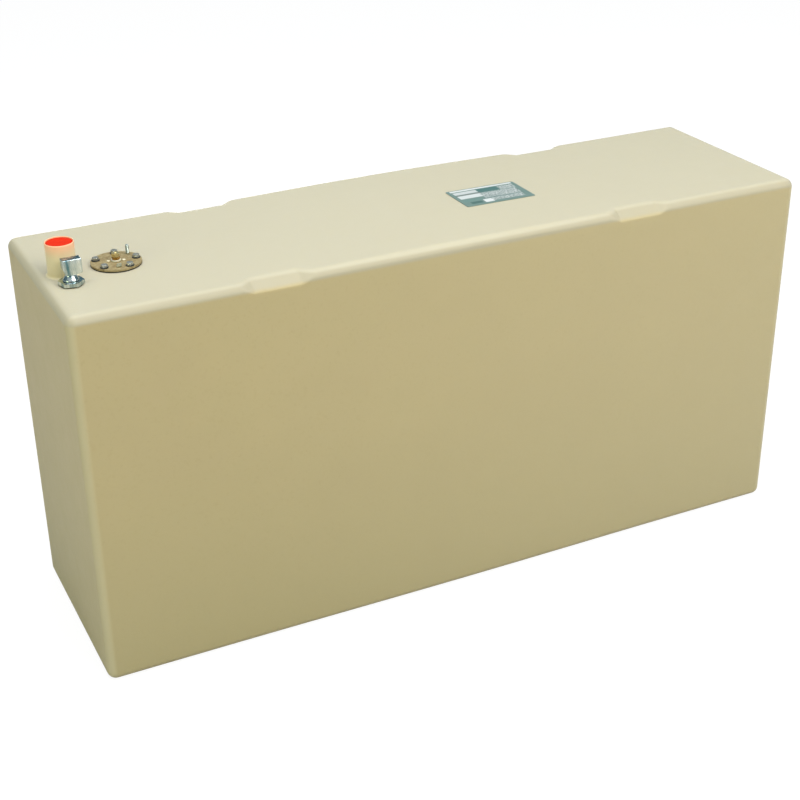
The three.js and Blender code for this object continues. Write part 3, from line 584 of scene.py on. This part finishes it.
def press_seats(point, inset):
    """Moves a point of the form down to the strap seats' sloping planes."""
    slope = math.atan2(SEAT_DOWN, SEAT_BACK)
    flare = (SEAT_MOUTH - SEAT_FLOOR) / 2 / SEAT_DEPTH
    for centre in SEAT_CENTRES:
        away = abs(point.x - centre)
        if away > SEAT_MOUTH / 2 + 12:
            continue
        side = 1 if point.y > 0 else -1
        out = Vector((0, side * math.sin(slope), math.cos(slope)))
        rise = swell(centre)
        on_seat = Vector((
            point.x,
            side * (WIDTH / 2 - SEAT_BACK / 2 + BULGE * rise),
            TOP - SEAT_DOWN / 2 + RISE * rise,
        ))
        above = (point - on_seat).dot(out)
        limit = max(0.0, away - SEAT_FLOOR / 2) / flare - inset
        point += out * (soft_least(above, limit) - above)


def wander(point, normal):
    """A faint unevenness of the big upright faces, always inwards, as cooling leaves it."""
    flatness = max(abs(normal.x), abs(normal.y))
    if flatness < 0.99:
        return
    depth = 0.45 * (0.5 + 0.5 * noise.noise(point * 0.0055))
    point -= normal * depth


def tank_form(inset):
    form = bmesh.new()
    bmesh.ops.create_cube(form, size=1)
    bmesh.ops.scale(form, verts=form.verts, vec=(LENGTH - 2 * inset, WIDTH - 2 * inset, TOP - 2 * inset))
    bmesh.ops.translate(form, verts=form.verts, vec=(0, 0, TOP / 2))
    bmesh.ops.bevel(
        form, geom=form.edges[:], affect="EDGES", offset=EDGE_ROUND - inset, offset_type="OFFSET",
        segments=12, profile=0.5, material=-1,
    )
    stations = {step * 40.0 for step in range(-13, 14)} | {-536.0, 536.0}
    for centre in SEAT_CENTRES:
        for end in (-1, 1):
            stations |= {centre + end * (SEAT_FLOOR / 2 + 2.5 * step) for step in range(-3, 9)}
    levels = {30.0 + 44.0 * step for step in range(12)} | {520.0, 524.0, 526.5, 528.5, 530.5}
    depths = {side * depth for side in (-1, 1) for depth in (0, 45, 90, 128, 132, 135, 138, 141, 144)}
    cuts = [((x, 0, 0), (1, 0, 0)) for x in sorted(stations)]
    cuts += [((0, 0, z), (0, 0, 1)) for z in sorted(levels)]
    cuts += [((0, y, 0), (0, 1, 0)) for y in sorted(depths)]
    for place, direction in cuts:
        bmesh.ops.bisect_plane(
            form, geom=form.verts[:] + form.edges[:] + form.faces[:], plane_co=place, plane_no=direction,
        )
    form.normal_update()
    facing = {vert: vert.normal.copy() for vert in form.verts}
    for vert in form.verts:
        swollen(vert.co)
        press_seats(vert.co, inset)
        wander(vert.co, facing[vert])
    return form


outside = tank_form(0)
inside = tank_form(WALL)
bmesh.ops.reverse_faces(inside, faces=inside.faces)
hollow = bpy.data.meshes.new("hollow")
inside.to_mesh(hollow)
outside.from_mesh(hollow)
inside.free()
bpy.data.meshes.remove(hollow)
tank = as_object("tank_moulding", outside)
print("tank form:", len(tank.data.vertices), "vertices in two nested skins")

# %% [markdown]
# The filler neck is moulded with the tank. It is a turned tube with a fillet at its foot and a shallow
# step inside its mouth for the plug's head. It is joined to the top, then bored. The sender's opening,
# its five screw holes and the draw fitting's hole go through the same wall.

# %% Neck and holes
NECK_OUT, NECK_FILLET, NECK_BORE = 19.0, 3.5, 16.2
RIM_RADIUS, RIM_DEPTH = 17.6, 3.0
SENDER_HOLE, DRAW_HOLE, SCREW_HOLE = 21, 14.3, 2.8
neck_x, neck_y = neck_axis.x / MM, neck_axis.y / MM
neck_high = neck_top / MM
foot = NECK_OUT + NECK_FILLET
fillet = [
    (foot - NECK_FILLET * math.sin(math.radians(a)), TOP + NECK_FILLET * (1 - math.cos(math.radians(a))))
    for a in range(15, 91, 15)
]
neck_outline = [(0, TOP - 3), (foot + 1, TOP - 3), (foot, TOP - 0.3)] + fillet
neck_outline += [
    (NECK_OUT - 0.15, neck_high - 14),
    (NECK_OUT, neck_high - 2),
    (NECK_OUT - 0.25, neck_high - 0.6),
    (NECK_OUT - 0.8, neck_high),
    (0, neck_high),
]
carve(tank, moved(turned(neck_outline, 96), neck_x, neck_y), "UNION")
mouth = neck_high - RIM_DEPTH
bore_outline = [
    (0, TOP - WALL - 1), (NECK_BORE, TOP - WALL - 1), (NECK_BORE, mouth - 0.5), (NECK_BORE + 0.5, mouth),
    (RIM_RADIUS, mouth), (RIM_RADIUS, neck_high - 0.4), (RIM_RADIUS + 0.9, neck_high + 0.5),
    (0, neck_high + 0.5),
]
carve(tank, moved(turned(bore_outline, 96), neck_x, neck_y))
sender_x, sender_y, flange_low, flange_high = middle("sender_flange")
draw_x, draw_y, _, seal_high = middle("draw_seal")
carve(tank, moved(rod(SENDER_HOLE, TOP - WALL - 1, TOP + 1, 72), sender_x, sender_y))
carve(tank, moved(rod(DRAW_HOLE, TOP - WALL - 1, TOP + 1), draw_x, draw_y))
screw_places = [middle(f"sender_screw_{number}")[:2] for number in range(1, 6)]
for x, y in screw_places:
    carve(tank, moved(rod(SCREW_HOLE, TOP - WALL - 1, TOP + 1, 24), x, y))
dress(tank, edge=0, crease=32)
fit(tank, "root", polyethylene, "polyethylene", "tank_shell", "filler_neck")

# %% [markdown]
# ## Filler plug
#
# A press-in plug of soft red plastic: a flat round head with a finger notch at one side, and a tapered
# skirt, open below, with two low sealing beads. It is one spun profile with the notch cut out, and it
# rides on its own body because it pulls straight up out of the neck.

# %% Plug
head_top = plug_high.z / MM
tip = plug_low.z / MM
head_low = head_top - 1.5
SKIRT_FOOT, HEAD_RADIUS, NOTCH_RADIUS = 15.2, 17.3, 2
plug_outline = [
    (0, head_low - 1.4), (13.4, head_low - 1.4), (13.6, tip), (SKIRT_FOOT - 0.2, tip),
    (SKIRT_FOOT, tip + 0.4),
]
for bead in (8.0, 16.0):
    level = tip + bead
    skirt = SKIRT_FOOT + 0.7 * bead / 24
    plug_outline += [
        (skirt, level - 1.2), (skirt + 0.25, level - 0.4), (skirt + 0.25, level + 0.4), (skirt, level + 1.2),
    ]
plug_outline += [
    (15.9, head_low), (HEAD_RADIUS - 0.3, head_low), (HEAD_RADIUS, head_low + 0.3),
    (HEAD_RADIUS, head_top - 0.5), (HEAD_RADIUS - 0.5, head_top), (14.6, head_top),
    (14.0, head_top - 0.35), (1.6, head_top - 0.45), (1.3, head_top - 0.15), (0, head_top - 0.1),
]
plug = as_object("fill_plug_moulding", moved(turned(plug_outline, 96), neck_x, neck_y))
carve(plug, moved(rod(NOTCH_RADIUS, head_low - 1, head_top + 1, 24), neck_x - HEAD_RADIUS, neck_y))
dress(plug, edge=0.12, crease=40)
fit(plug, "fill_plug", red_cap, "red_plastic", "fill_plug")

# %% [markdown]
# ## Draw fitting
#
# A hexagon bushing screws into an insert in the tank wall over a rubber seal, and a forged elbow is
# pressed into it. The bushing is a chamfered hexagon joined to a threaded shank and bored through.
# The elbow is a square block with rounded forging edges on a round stem with a coned collar, and its
# side port has a real thread, cut with a threaded rod.

# %% Bushing and elbow
HEX_CORNER, HEX_TALL, HEX_TURN = 17.0, 5.0, -14.0
SHANK_RADIUS, SHANK_PITCH, SHANK_THREAD = 10.2, 1.8, 0.9
UPPER_BORE, LOWER_BORE = 8.3, 5.3
hex_low = seal_high + 0.3
hex_high = hex_low + HEX_TALL
bushing = hexagon(HEX_CORNER, hex_low, hex_high, chamfer=0.9)
bushing.name = "bushing_hexagon"
shank = threaded(SHANK_RADIUS, TOP - 16, hex_low + 1, SHANK_PITCH, SHANK_THREAD, 36)
carve(bushing, shank, "UNION")
carve(bushing, rod(UPPER_BORE, TOP - 6, hex_high + 1))
carve(bushing, rod(LOWER_BORE, TOP - 17, TOP - 5))
# The prism's first corner is on +Y, so it is turned back by the 90 degrees that put it there.
stood_at(bushing, draw_x, draw_y, HEX_TURN - 90)
dress(bushing, edge=0.25)
fit(bushing, "root", zinc_with_painted_reflection, "zinc_plate", "draw_bushing")

LEFT, RIGHT, BLOCK_WIDTH, BLOCK_TOP, BLOCK_LOW = -9.8, 14.6, 13.5, 35.3, 16.4
PORT_LEVEL, PORT_RADIUS, PORT_DEPTH, STEM, COLLAR = 26.0, 4.8, 16.0, 6.6, 10.5
SPIGOT, ELBOW_BORE = 3.2, 2.4
block = bmesh.new()
outline = [
    (LEFT + 3, BLOCK_LOW - 2), (STEM - 1, BLOCK_LOW - 2), (RIGHT, BLOCK_LOW), (RIGHT, BLOCK_TOP),
    (LEFT, BLOCK_TOP), (LEFT, BLOCK_LOW + 6),
]
side = block.faces.new([block.verts.new((x, BLOCK_WIDTH / 2, TOP + z)) for x, z in outline])
grown = bmesh.ops.extrude_face_region(block, geom=[side])
drawn_out(block, grown, (0, -BLOCK_WIDTH, 0))
bmesh.ops.recalc_face_normals(block, faces=block.faces)
bmesh.ops.bevel(
    block, geom=block.edges[:], affect="EDGES", offset=0.6, segments=4, profile=0.5, material=-1,
)
elbow = as_object("elbow_forging", block)
stem_foot = hex_high + 0.3
stem_outline = [
    (0, TOP - 5.5), (SPIGOT, TOP - 5.5), (SPIGOT, stem_foot), (COLLAR - 0.3, stem_foot),
    (COLLAR, stem_foot + 0.3), (COLLAR, stem_foot + 1.3), (COLLAR - 0.4, stem_foot + 1.9),
    (STEM + 0.9, stem_foot + 5.6), (STEM + 0.2, stem_foot + 6.6), (STEM, stem_foot + 8),
    (STEM, TOP + BLOCK_LOW + 3), (0, TOP + BLOCK_LOW + 3),
]
carve(elbow, turned(stem_outline, 64), "UNION")
carve(elbow, rod(ELBOW_BORE, TOP - 6, TOP + PORT_LEVEL))
port = laid_along(threaded(PORT_RADIUS, 0, PORT_DEPTH + 2, 1.4, 0.7, 32), "X")
carve(elbow, moved(port, RIGHT - PORT_DEPTH, 0, TOP + PORT_LEVEL))
lead_in = laid_along(turned([(0, -1.2), (PORT_RADIUS - 0.9, -1.2), (PORT_RADIUS + 0.6, 0.3), (0, 0.3)]), "X")
carve(elbow, moved(lead_in, RIGHT, 0, TOP + PORT_LEVEL))
stood_at(elbow, draw_x, draw_y)
dress(elbow, edge=0)
fit(elbow, "root", zinc_with_painted_reflection, "zinc_plate", "draw_elbow")

# %% [markdown]
# ## Level sender
#
# A round steel flange in old yellow zinc, on a rubber gasket, holds everything that hangs inside. Both
# are spun rings, bored through for the screws, and the flange for the rivets and the earth post too.

# %% Gasket and flange
gasket_low, gasket_high = middle("sender_gasket")[2:]
FLANGE_RADIUS, GASKET_HOLE, TERMINAL_HOLE = 33.5, 20, 4.3
RIVET_HOLE, POST_HOLE = 1.8, 2.7
gasket_shape = ring(GASKET_HOLE, FLANGE_RADIUS, gasket_low, gasket_high, 96)
gasket = as_object("sender_gasket_ring", moved(gasket_shape, sender_x, sender_y))
flange_shape = ring(TERMINAL_HOLE, FLANGE_RADIUS, flange_low, flange_high, 96)
flange = as_object("sender_flange_plate", moved(flange_shape, sender_x, sender_y))
for x, y in screw_places:
    for plate in (gasket, flange):
        carve(plate, moved(rod(SCREW_HOLE, gasket_low - 1, flange_high + 1, 24), x, y))
rivet_places = [middle(f"bracket_rivet_{number}")[:2] for number in (1, 2)]
post_x, post_y, post_low, post_high = middle("ground_stud")
for x, y, hole in [(*place, RIVET_HOLE) for place in rivet_places] + [(post_x, post_y, POST_HOLE)]:
    carve(flange, moved(rod(hole, flange_low - 1, flange_high + 1, 24), x, y))
dress(gasket, edge=0.4, segments=3)
dress(flange, edge=0.5, segments=3)
fit(gasket, "root", black_rubber, "rubber", "sender_gasket")
fit(flange, "root", old_yellow_zinc, "yellow_zinc", "sender_flange")

# %% [markdown]
# ## Screws and washers
#
# Five hexagon screws with washers hold the flange down. One screw with a real thread and one washer are
# modelled, and copied to each place. Each copy is turned differently, as tightening leaves them.

# %% Screws and washers
washer_low, washer_high = middle("sender_washer_1")[2:]
screw_low, screw_high = middle("sender_screw_1")[2:]
SCREW_CORNER, SCREW_RADIUS, WASHER_RADIUS = 4.7, 2.4, 5.5
screw = hexagon(SCREW_CORNER, washer_high + 0.3, screw_high, chamfer=0.9)
carve(screw, threaded(SCREW_RADIUS, screw_low, washer_high + 1, 0.8, 0.4, 20), "UNION")
dress(screw, edge=0.18)
washer = dress(as_object("washer", ring(SCREW_HOLE, WASHER_RADIUS, washer_low, washer_high, 48)), edge=0.2)
for number, (x, y) in enumerate(screw_places, start=1):
    spin_by = math.atan2(y - sender_y, x - sender_x) * 2
    for pattern, name, node in (
        (screw, f"screw_head_{number}", f"sender_screw_{number}"),
        (washer, f"screw_washer_{number}", f"sender_washer_{number}"),
    ):
        copy = bpy.data.objects.new(name, pattern.data.copy())
        bpy.context.scene.collection.objects.link(copy)
        copy.data.transform(Matrix.Translation((x * MM, y * MM, 0)) @ Matrix.Rotation(spin_by, 4, "Z"))
        fit(copy, "root", screw_zinc if pattern is screw else washer_shadow_zinc, "steel", node)
for pattern in (screw, washer):
    bpy.data.objects.remove(pattern)

# %% [markdown]
# ## Terminal and earth post
#
# In the middle stands the insulated terminal, a brass stud with two nuts on a white washer, and beside
# it the plated earth post. Both are threaded rods. A turned blank with a cone on top is laid over each,
# and only what the two share is kept, which blunts the end.

# %% Terminal and earth post
STUD_RADIUS, STUD_HEAD, NUT_CORNER, INSULATOR_RADIUS = 2.1, 3.6, 5.5, 6.5
STUD_HOLE, POST_RADIUS = 2.4, 2.4
stud_low, stud_high = middle("terminal_stud")[2:]
stud = as_object("terminal_thread", threaded(STUD_RADIUS, stud_low + 1.5, stud_high, 0.7, 0.32, 24))
carve(stud, rod(STUD_HEAD, stud_low, stud_low + 2), "UNION")
blunted(stud, stud_low, stud_high, (2.6, 1.1), (1.4, 0))
stood_at(stud, sender_x, sender_y)
dress(stud, edge=0)
fit(stud, "root", bare_brass, "brass", "terminal_stud")

for which, turn, finish in (("lower", 10, aged_brass), ("upper", 35, bare_brass)):
    node = f"terminal_{which}_nut"
    low, high = middle(node)[2:]
    nut = hexagon(NUT_CORNER, low, high, chamfer=0.7, both_ends=True)
    nut.name = f"terminal_nut_{which}"
    carve(nut, rod(STUD_HOLE, low - 1, high + 1, 32))
    stood_at(nut, sender_x, sender_y, turn)
    dress(nut, edge=0.15)
    fit(nut, "root", finish, "brass", node)

low, high = middle("terminal_insulator")[2:]
insulator_shape = moved(ring(STUD_HOLE, INSULATOR_RADIUS, low, high), sender_x, sender_y)
insulator = dress(as_object("terminal_washer_white", insulator_shape), edge=0.35, segments=3)
fit(insulator, "root", white_nylon, "white_plastic", "terminal_insulator")

post = as_object("earth_post", threaded(POST_RADIUS, flange_high + 1.5, post_high, 0.9, 0.25, 24))
carve(post, rod(POST_RADIUS, post_low, flange_high + 2), "UNION")
blunted(post, post_low, post_high, (2.7, 0.9), (1.8, 0))
stood_at(post, post_x, post_y)
dress(post, edge=0)
fit(post, "root", post_zinc, "zinc_plate", "ground_stud")

# %% [markdown]
# ## Earth tab and rivets
#
# The push-on tab is a strip of sheet folded once. Two edges are drawn out sideways to faces, the fold
# between them is bevelled, and Solidify gives the thickness of the sheet. Two low domes, spun, are the
# heads of the rivets that hold the bracket under the flange.

# %% Earth tab and rivets
tab_low, tab_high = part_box("ground_tab")
tab_low, tab_high = tab_low / MM, tab_high / MM
SHEET, EYE_RADIUS, EYE_LEVEL = 0.8, 0.9, 3.2
fold = bmesh.new()
points = [
    (tab_low.x, tab_high.y, tab_low.z + SHEET), (tab_low.x, tab_low.y + SHEET, tab_low.z + SHEET),
    (tab_low.x, tab_low.y + SHEET, tab_high.z),
]
strip = [fold.verts.new(point) for point in points]
crease_edges = [fold.edges.new(pair) for pair in zip(strip, strip[1:])]
grown = bmesh.ops.extrude_edge_only(fold, edges=crease_edges)
drawn_out(fold, grown, (tab_high.x - tab_low.x, 0, 0))
inner = [e for e in fold.edges if len(e.link_faces) == 2]
bmesh.ops.bevel(fold, geom=inner, affect="EDGES", offset=0.5, segments=4, profile=0.5, material=-1)
bmesh.ops.recalc_face_normals(fold, faces=fold.faces)
blade = as_object("earth_tab", fold)
step = blade.modifiers.new("sheet", "SOLIDIFY")
step.thickness = SHEET
step.offset = 1 if blade.data.polygons[0].normal.z < 0 else -1
step.use_even_offset = True
settle(blade)
eye = laid_along(rod(EYE_RADIUS, -3, 3, 24), "Y")
carve(blade, moved(eye, (tab_low.x + tab_high.x) / 2, tab_low.y, tab_low.z + EYE_LEVEL))
dress(blade, edge=0.12)
fit(blade, "root", post_zinc, "zinc_plate", "ground_tab")

RIVET_SHANK, RIVET_HEAD, HEAD_RIM = 1.5, 2.7, 0.15
rivet_low, rivet_high = middle("bracket_rivet_1")[2:]
seat = flange_high + 0.3
tall = rivet_high - seat
dome = [
    (RIVET_HEAD * math.cos(math.radians(a)), seat + HEAD_RIM + (tall - HEAD_RIM) * math.sin(math.radians(a)))
    for a in range(0, 90, 15)
]
rivet_outline = [(0, rivet_low), (RIVET_SHANK, rivet_low), (RIVET_SHANK, seat), (RIVET_HEAD, seat)]
rivet_outline += dome + [(0, rivet_high)]
for number, (x, y) in enumerate(rivet_places, start=1):
    rivet = as_object(f"rivet_head_{number}", moved(turned(rivet_outline), x, y))
    dress(rivet, edge=0, crease=50)
    fit(rivet, "root", rivet_zinc, "steel", f"bracket_rivet_{number}")

# %% [markdown]
# ## Data label
#
# A thin foil label lies on the top. It is a flat plate with small round corners that follows the swell
# of the tank. Its print is plain panels and ruled dashes, drawn by comparing the place on the label
# with each panel's own, and by a brick pattern for the dashes.

# %% Label
label_low, label_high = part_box("label_plate")
label_x, label_y = (label_low.x + label_high.x) / 2, (label_low.y + label_high.y) / 2
foil, tree, surface, place = new_material("printed_foil", Metallic=0.35, IOR=1.5)
centred = add(tree, "ShaderNodeMapping", {"Vector": place})
centred.inputs["Location"].default_value = (-label_x, -label_y, 0)
axes = add(tree, "ShaderNodeSeparateXYZ", {0: centred.outputs["Vector"]})
dashes = add(
    tree, "ShaderNodeTexBrick", {"Vector": centred.outputs["Vector"]},
    offset=0.37, squash=0.7, squash_frequency=3, Scale=1.0, Mortar_Size=0.00055, Mortar_Smooth=0.2, Bias=-0.1,
    Brick_Width=0.0075, Row_Height=0.0027,
)
dashes.inputs["Color1"].default_value = linear("#dfe3e1")
dashes.inputs["Color2"].default_value = linear("#b9c4c2")
dashes.inputs["Mortar"].default_value = linear("#3c5c58")
base = add(tree, "ShaderNodeTexNoise", {"Vector": place}, Scale=per_metre(14), Detail=3)
print_colour = add(tree, "ShaderNodeMix", {"Factor": base.outputs["Fac"]}, data_type="RGBA")
print_colour.inputs[6].default_value = linear("#66807a")
print_colour.inputs[7].default_value = linear("#78908a")
PANELS = [
    (-51, 51, 27.5, 32.5, "#d9dddb"),
    (-50, -8, 14.5, 24.5, "#c6cccb"),
    (-12, 22, 11.0, 25.5, "#4d7370"),
    (-50, -10, 10.5, 12.0, "#8a7f7c"),
    (-50, -9, -4.0, 9.0, "#cfd5d4"),
    (-14, 46, -12.0, 9.5, None),
    (24, 49, 11.5, 25.0, None),
    (-50, -22, -17.0, -7.5, "#6c8a84"),
    (-18, 44, -26.0, -15.0, None),
    (-44, -26, -28.0, -20.0, "#4b6c67"),
    (-22, -8, -29.0, -17.0, "#dadedd"),
]
colour = print_colour.outputs[2]
for left, right, near, far, code in PANELS:
    across = add(tree, "ShaderNodeMath", {0: axes.outputs["X"]}, operation="COMPARE")
    across.inputs[1].default_value = (left + right) / 2 * MM
    across.inputs[2].default_value = (right - left) / 2 * MM
    along = add(tree, "ShaderNodeMath", {0: axes.outputs["Y"]}, operation="COMPARE")
    along.inputs[1].default_value = (near + far) / 2 * MM
    along.inputs[2].default_value = (far - near) / 2 * MM
    both = add(tree, "ShaderNodeMath", {0: across.outputs[0], 1: along.outputs[0]}, operation="MINIMUM")
    laid = add(tree, "ShaderNodeMix", {"Factor": both.outputs[0], 6: colour}, data_type="RGBA")
    if code:
        laid.inputs[7].default_value = linear(code)
    else:
        tree.links.new(dashes.outputs["Color"], laid.inputs[7])
    colour = laid.outputs[2]
tree.links.new(colour, surface.inputs["Base Color"])
shine = add(tree, "ShaderNodeMapRange", {"Value": base.outputs["Fac"]}, To_Min=0.3, To_Max=0.45)
tree.links.new(shine.outputs["Result"], surface.inputs["Roughness"])
ripple = add(tree, "ShaderNodeBump", {"Height": base.outputs["Fac"]}, Strength=0.25, Distance=0.0003)
tree.links.new(ripple.outputs["Normal"], surface.inputs["Normal"])

plate = bmesh.new()
bmesh.ops.create_cube(plate, size=1)
low, high = label_low / MM, label_high / MM
bmesh.ops.scale(plate, verts=plate.verts, vec=(high.x - low.x, high.y - low.y, 0.5))
bmesh.ops.translate(plate, verts=plate.verts, vec=((low.x + high.x) / 2, (low.y + high.y) / 2, TOP + 0.55))
upright = [e for e in plate.edges if abs((e.verts[0].co - e.verts[1].co).z) > 0.1]
bmesh.ops.bevel(plate, geom=upright, affect="EDGES", offset=2.5, segments=5, profile=0.5, material=-1)
for step in range(1, 10):
    bmesh.ops.bisect_plane(
        plate, geom=plate.verts[:] + plate.edges[:] + plate.faces[:],
        plane_co=(low.x + step * (high.x - low.x) / 10, 0, 0), plane_no=(1, 0, 0),
    )
for vert in plate.verts:
    swollen(vert.co)
label = dress(as_object("foil_label", plate), edge=0.1, segments=1)
fit(label, "root", foil, "label_foil", "label_plate")

# %% [markdown]
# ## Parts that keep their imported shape
#
# What hangs inside the closed tank, and the thin seal under the bushing, already have the right shape.
# They only need the finish of the real material in place of the plain colours that they came with.

# %% Finishes for the kept parts
KEPT = {
    "draw_seal": black_rubber,
    "draw_insert": bare_brass,
    "dip_tube": drawn_aluminium,
    "dip_strainer": white_nylon,
    "sender_mount_ring": bare_steel,
    "terminal_bush": white_nylon,
    "drop_bracket": bare_steel,
    "resistor_housing": black_acetal,
    "resistor_cover": black_acetal,
    "resistor_card": ceramic,
    "signal_lead": lead_sleeve,
    "pivot_pin": bare_steel,
    "pivot_clip": bare_steel,
    "arm_hub": white_nylon,
    "wiper": bare_brass,
    "float_arm": bare_steel,
    "float": black_foam,
    "float_clip_1": bare_steel,
    "float_clip_2": bare_steel,
}
for name, finish in KEPT.items():
    for holder in frame["nodes"][name].material_slots:
        holder.material = finish
bare = [name for name, node in frame["nodes"].items() if not node.hide_render and name not in KEPT]
print("kept parts finished:", len(KEPT), "left plain:", bare)

# %% [markdown]
# ## Floor, light and air
#
# The tank stands on a wide pale floor. One large soft light stands in front and above, one hangs
# overhead and whitens the top, a faint yellowish one stands off the near end, and a low one behind lifts
# the back wall out of the shade. The room gives an even fill. Seen in metal, a room is never all white, so
# the sky that reflections see is darker low down than overhead.

# %% Stage
floor_shape = bmesh.new()
bmesh.ops.create_grid(floor_shape, x_segments=1, y_segments=1, size=14)
floor = as_object("studio_floor", floor_shape)
floor_finish, tree, surface, place = new_material("lit_white_floor", Roughness=0.9)
surface.inputs["Base Color"].default_value = linear("#c4c4c4")
# The floor glows where the camera sees it, so that it stays white with only faint shadows. It lights
# nothing else.
GLOW_SHARE = 0.78
glow = add(tree, "ShaderNodeEmission", Strength=1.15)
seen = add(tree, "ShaderNodeLightPath")
share = add(tree, "ShaderNodeMath", {0: seen.outputs["Is Camera Ray"]}, operation="MULTIPLY")
share.inputs[1].default_value = GLOW_SHARE
shown = add(tree, "ShaderNodeMixShader", {0: share.outputs[0], 1: surface.outputs[0], 2: glow.outputs[0]})
tree.links.new(shown.outputs[0], tree.nodes["Material Output"].inputs["Surface"])
floor.data.materials.append(floor_finish)


def soft_light(name, place, aim, size, watts, colour):
    """A large flat light at that place, turned to face its aim."""
    data = bpy.data.lights.new(name, "AREA")
    data.shape = "RECTANGLE"
    data.size, data.size_y = size
    data.energy = watts
    data.color = linear(colour)[:3]
    lamp = bpy.data.objects.new(name, data)
    bpy.context.scene.collection.objects.link(lamp)
    facing = (Vector(aim) - Vector(place)).to_track_quat("-Z", "Y")
    lamp.matrix_world = Matrix.Translation(place) @ facing.to_matrix().to_4x4()


soft_light("front_softbox", (1.2, -2.65, 2.6), (0.05, 0, 0.3), (2.6, 1.6), 115, "#fff8ec")
soft_light("overhead_softbox", (-0.35, -0.2, 3.1), (-0.2, 0, 0.4), (3.2, 2.4), 81, "#f6f5fb")
soft_light("left_softbox", (-3.0, -1.0, 1.1), (-0.4, 0, 0.3), (1.4, 1.2), 27, "#f6f4bc")
soft_light("rear_softbox", (0.3, 2.8, 0.4), (0, 0, 0.3), (2.4, 0.5), 24, "#f6f4ec")

world = bpy.data.worlds.new("studio_air")
bpy.context.scene.world = world
world.use_nodes = True
tree = world.node_tree
sky_place = add(tree, "ShaderNodeTexCoord").outputs["Generated"]
sky_height = add(tree, "ShaderNodeSeparateXYZ", {0: sky_place})
sky = add(tree, "ShaderNodeValToRGB", {"Fac": sky_height.outputs["Z"]})
sky.color_ramp.elements[0].position = 0.0
sky.color_ramp.elements[0].color = linear("#b9bcbc")
sky.color_ramp.elements[1].position = 1.0
sky.color_ramp.elements[1].color = linear("#ffffff")
for position, code in ((0.3, "#5f7880"), (0.52, "#557884"), (0.66, "#c9cdcd")):
    stop = sky.color_ramp.elements.new(position)
    stop.color = linear(code)
seen = add(tree, "ShaderNodeLightPath")
air = tree.nodes["Background"]
air.inputs["Strength"].default_value = 1.0
backdrop = add(
    tree, "ShaderNodeMix", {"Factor": seen.outputs["Is Camera Ray"], 6: sky.outputs["Color"]},
    data_type="RGBA",
)
backdrop.inputs[7].default_value = (1, 1, 1, 1)
tree.links.new(backdrop.outputs[2], air.inputs["Color"])
bpy.context.scene.view_settings.view_transform = "Standard"
print("stage: floor, four softboxes and a graded sky")
